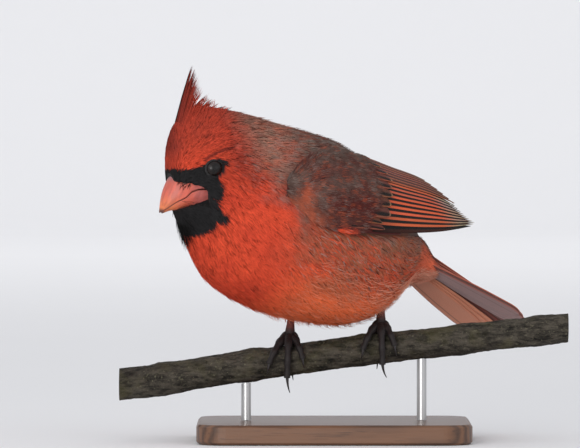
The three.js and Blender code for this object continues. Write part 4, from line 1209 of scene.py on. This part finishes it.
def feet():
    """Two feet, each a shank, a knuckle over the branch and four toes in one piece, and a claw on each
    toe."""
    skin = Look("foot_skin", Roughness=0.62, Specular_IOR_Level=0.35)
    grain = skin.noise(900.0)
    skin.set("Base Color", skin.mix(skin.paint(), (0.03, 0.018, 0.017), grain * 0.4))
    skin.bump(grain, 0.0002, 0.5)
    nail = Look("claw_horn", Roughness=0.3, Coat_Weight=0.3)
    nail.set("Base Color", nail.mix(shade("0d0b0b"), shade("2c2424"), nail.noise(350.0)))
    dark, flesh, tip_dark = shade("171011"), shade("803a2e"), shade("0e0a0a")
    knuckle_rows, knuckle_columns = 16, 22
    for name, at, lean, toes in FEET:
        ankle = perch_point(at, 0.0, BARK + 2.3)
        u = np.linspace(0, 1, 90)
        path = ankle + (u[:, None] * 1.02 - 0.02) * np.array(lean)
        radius = (1.5 + 0.7 * ease(0.45, 0.0, u) + 0.2 * ease(0.6, 1.0, u)) * scutes(u, 11)
        knuckle = ball(ankle, 2.35, knuckle_rows, knuckle_columns, (1.6, 1.05, 1.25))
        shells = [lofted(tube(path, radius)), lofted(knuckle)]
        shank_paint = np.repeat(lerp(dark, flesh, ease(0.12, 0.5, u)[:, None]), TOE_SIDES, 0)
        paints = [with_ends(shank_paint), with_ends(np.tile(dark, (knuckle_rows * knuckle_columns, 1)))]
        u = np.linspace(0, 1, 120)
        toe_paint = with_ends(np.repeat(lerp(dark, tip_dark, u[:, None]), TOE_SIDES, 0))
        pads = (lerp(1.5, 1.15, u) + 1.0 * ease(0.45, 0.0, u)) * (1 + 0.1 * np.cos(TAU * 3 * u))
        for i, (side, wrap, drop, claw) in enumerate(toes):
            path = toe_path(at, side, wrap, drop, u)
            shells.append(lofted(tube(path, pads * scutes(u, 16))))
            paints.append(toe_paint)
            back = toe_path(at, side, wrap, drop, np.array([0.93]))[0]
            verts, quads, tris = lofted(claw_rings(path[-1], back, claw, math.copysign(1, wrap)))
            node = "claw_" + name + "_" + str(i + 1)
            piece(node + "_horn", verts, quads, tris, nail.material, "claw", (node,))
        verts, quads, tris = joined(shells)
        paint = np.concatenate(paints)
        piece("foot_" + name, verts, quads, tris, skin.material, "foot_scale", ("leg_" + name,), paint)


# The stand

def stand():
    """Looks for the base and the rods, which keep the meshes of the solids."""
    wood = Look("stand_wood", Roughness=0.45, Coat_Weight=0.15)
    ring = wood.bands("Y", wood.stretched((1.0, 6.0, 6.0)), 18.0, 5.0, 3.0)
    pore = wood.noise(700.0, wood.stretched((0.08, 1.0, 1.0)), 2.0)
    colour = wood.mix(shade("4a3122"), shade("6f4b33"), ring)
    wood.set("Base Color", wood.mix(colour, shade("2f1e14"), wood.step(0.55, 0.75, pore) * 0.5))
    wood.bump(pore, 0.0003, 0.3)
    steel = Look("stand_steel", Metallic=1.0, Roughness=0.35)
    brush = steel.noise(900.0, steel.stretched((1.0, 1.0, 0.05)), 2.0)
    steel.set("Base Color", steel.mix((0.42, 0.42, 0.42), (0.62, 0.62, 0.62), brush))
    steel.set("Roughness", brush * 0.2 + 0.28)
    for name, look in (("stand_base", wood), ("stand_rod_1", steel), ("stand_rod_2", steel)):
        node = frame["nodes"][name]
        node.data.materials.clear()
        node.data.materials.append(look.material)


# The room, the light and the camera, in metres but for the backdrop

FLOOR = {"near": -6000, "bend": 4600, "radius": 1400, "half_width": 7000, "top": 6000, "under": 0.2}
LIGHTS = (  # name, place, aim, width, power, colour
    ("key", (-1.0, -1.8, 1.1), (0, 0, 0.08), 1.8, 9, (1, 0.98, 0.96)),
    ("fill", (1.7, -1.6, 0.7), (0, 0, 0.08), 1.8, 5, (0.97, 0.98, 1)),
    ("low", (-0.5, -1.7, 0.3), (0, 0, 0.06), 0.6, 9, (1, 0.99, 0.97)),
    ("wall", (0, 3.2, 3.0), (0, 5.2, 0.2), 2.4, 30, (1, 0.995, 0.99)),
)
SKY_COLOUR, SKY_POWER = (0.91, 0.92, 0.95, 1), 0.85
CAMERA_AWAY = 2.5
CAMERA_RISE = math.radians(1.0)
CAMERA_AIM = (-0.018, 0, 0.0886)
FRAME_WIDTH = 0.2378  # how much of the bird's own plane the picture takes in
SENSOR = 36  # millimetres


def backdrop():
    """A pale floor that curves up into a wall, by a quarter of a circle."""
    rows = columns = 12
    bend = np.linspace(0, math.pi / 2, 24)[1:]
    near, start, radius, top = (FLOOR[k] for k in ("near", "bend", "radius", "top"))
    depth = np.concatenate([np.linspace(near, start, rows), start + radius * np.sin(bend), [start + radius]])
    high = np.concatenate([np.zeros(rows), radius - radius * np.cos(bend), [top]])
    x = np.linspace(-FLOOR["half_width"], FLOOR["half_width"], columns)[:, None]
    verts = vector(x, depth[None], high[None] - FLOOR["under"])
    quads = grid_faces(columns, len(depth))[:, [0, 3, 2, 1]]
    look = Look("backdrop", Roughness=0.9, Specular_IOR_Level=0.1)
    look.set("Base Color", look.mix((0.80, 0.80, 0.81), (0.82, 0.82, 0.83), look.noise(2.0)))
    piece("backdrop", verts.reshape(-1, 3), quads, None, look.material, None)


def placed(name, data, place, goal):
    """An object at a place that looks at a goal."""
    obj = bpy.data.objects.new(name, data)
    obj.location = place
    obj.rotation_euler = (Vector(goal) - obj.location).to_track_quat("-Z", "Y").to_euler()
    bpy.context.scene.collection.objects.link(obj)
    return obj


def studio():
    """The backdrop, big soft lights, and a long lens at the photograph's angle."""
    backdrop()
    for name, place, goal, size, power, colour in LIGHTS:
        light = bpy.data.lights.new(name, "AREA")
        light.shape, light.size, light.energy, light.color = "DISK", size, power, colour
        placed(name, light, place, goal)
    sky = bpy.data.worlds.new("sky")
    sky.use_nodes = True
    sky.node_tree.nodes["Background"].inputs[0].default_value = SKY_COLOUR
    sky.node_tree.nodes["Background"].inputs[1].default_value = SKY_POWER
    bpy.context.scene.world = sky
    bpy.context.scene.view_settings.view_transform = "Standard"
    camera = bpy.data.cameras.new("camera")
    camera.sensor_width, camera.lens = SENSOR, SENSOR * CAMERA_AWAY / FRAME_WIDTH
    camera.clip_start, camera.clip_end = 0.05, 50
    aim = Vector(CAMERA_AIM)
    back = Vector((0, -CAMERA_AWAY * math.cos(CAMERA_RISE), CAMERA_AWAY * math.sin(CAMERA_RISE)))
    bpy.context.scene.camera = placed("camera", camera, aim + back, aim)


body_skin()
for wing_name, wing_side in SIDES.items():
    wing_pieces(wing_name, wing_side)
tail_pieces()
coat()
fringe()
crest()
bill()
bristles()
eyes()
branch()
feet()
stand()
studio()
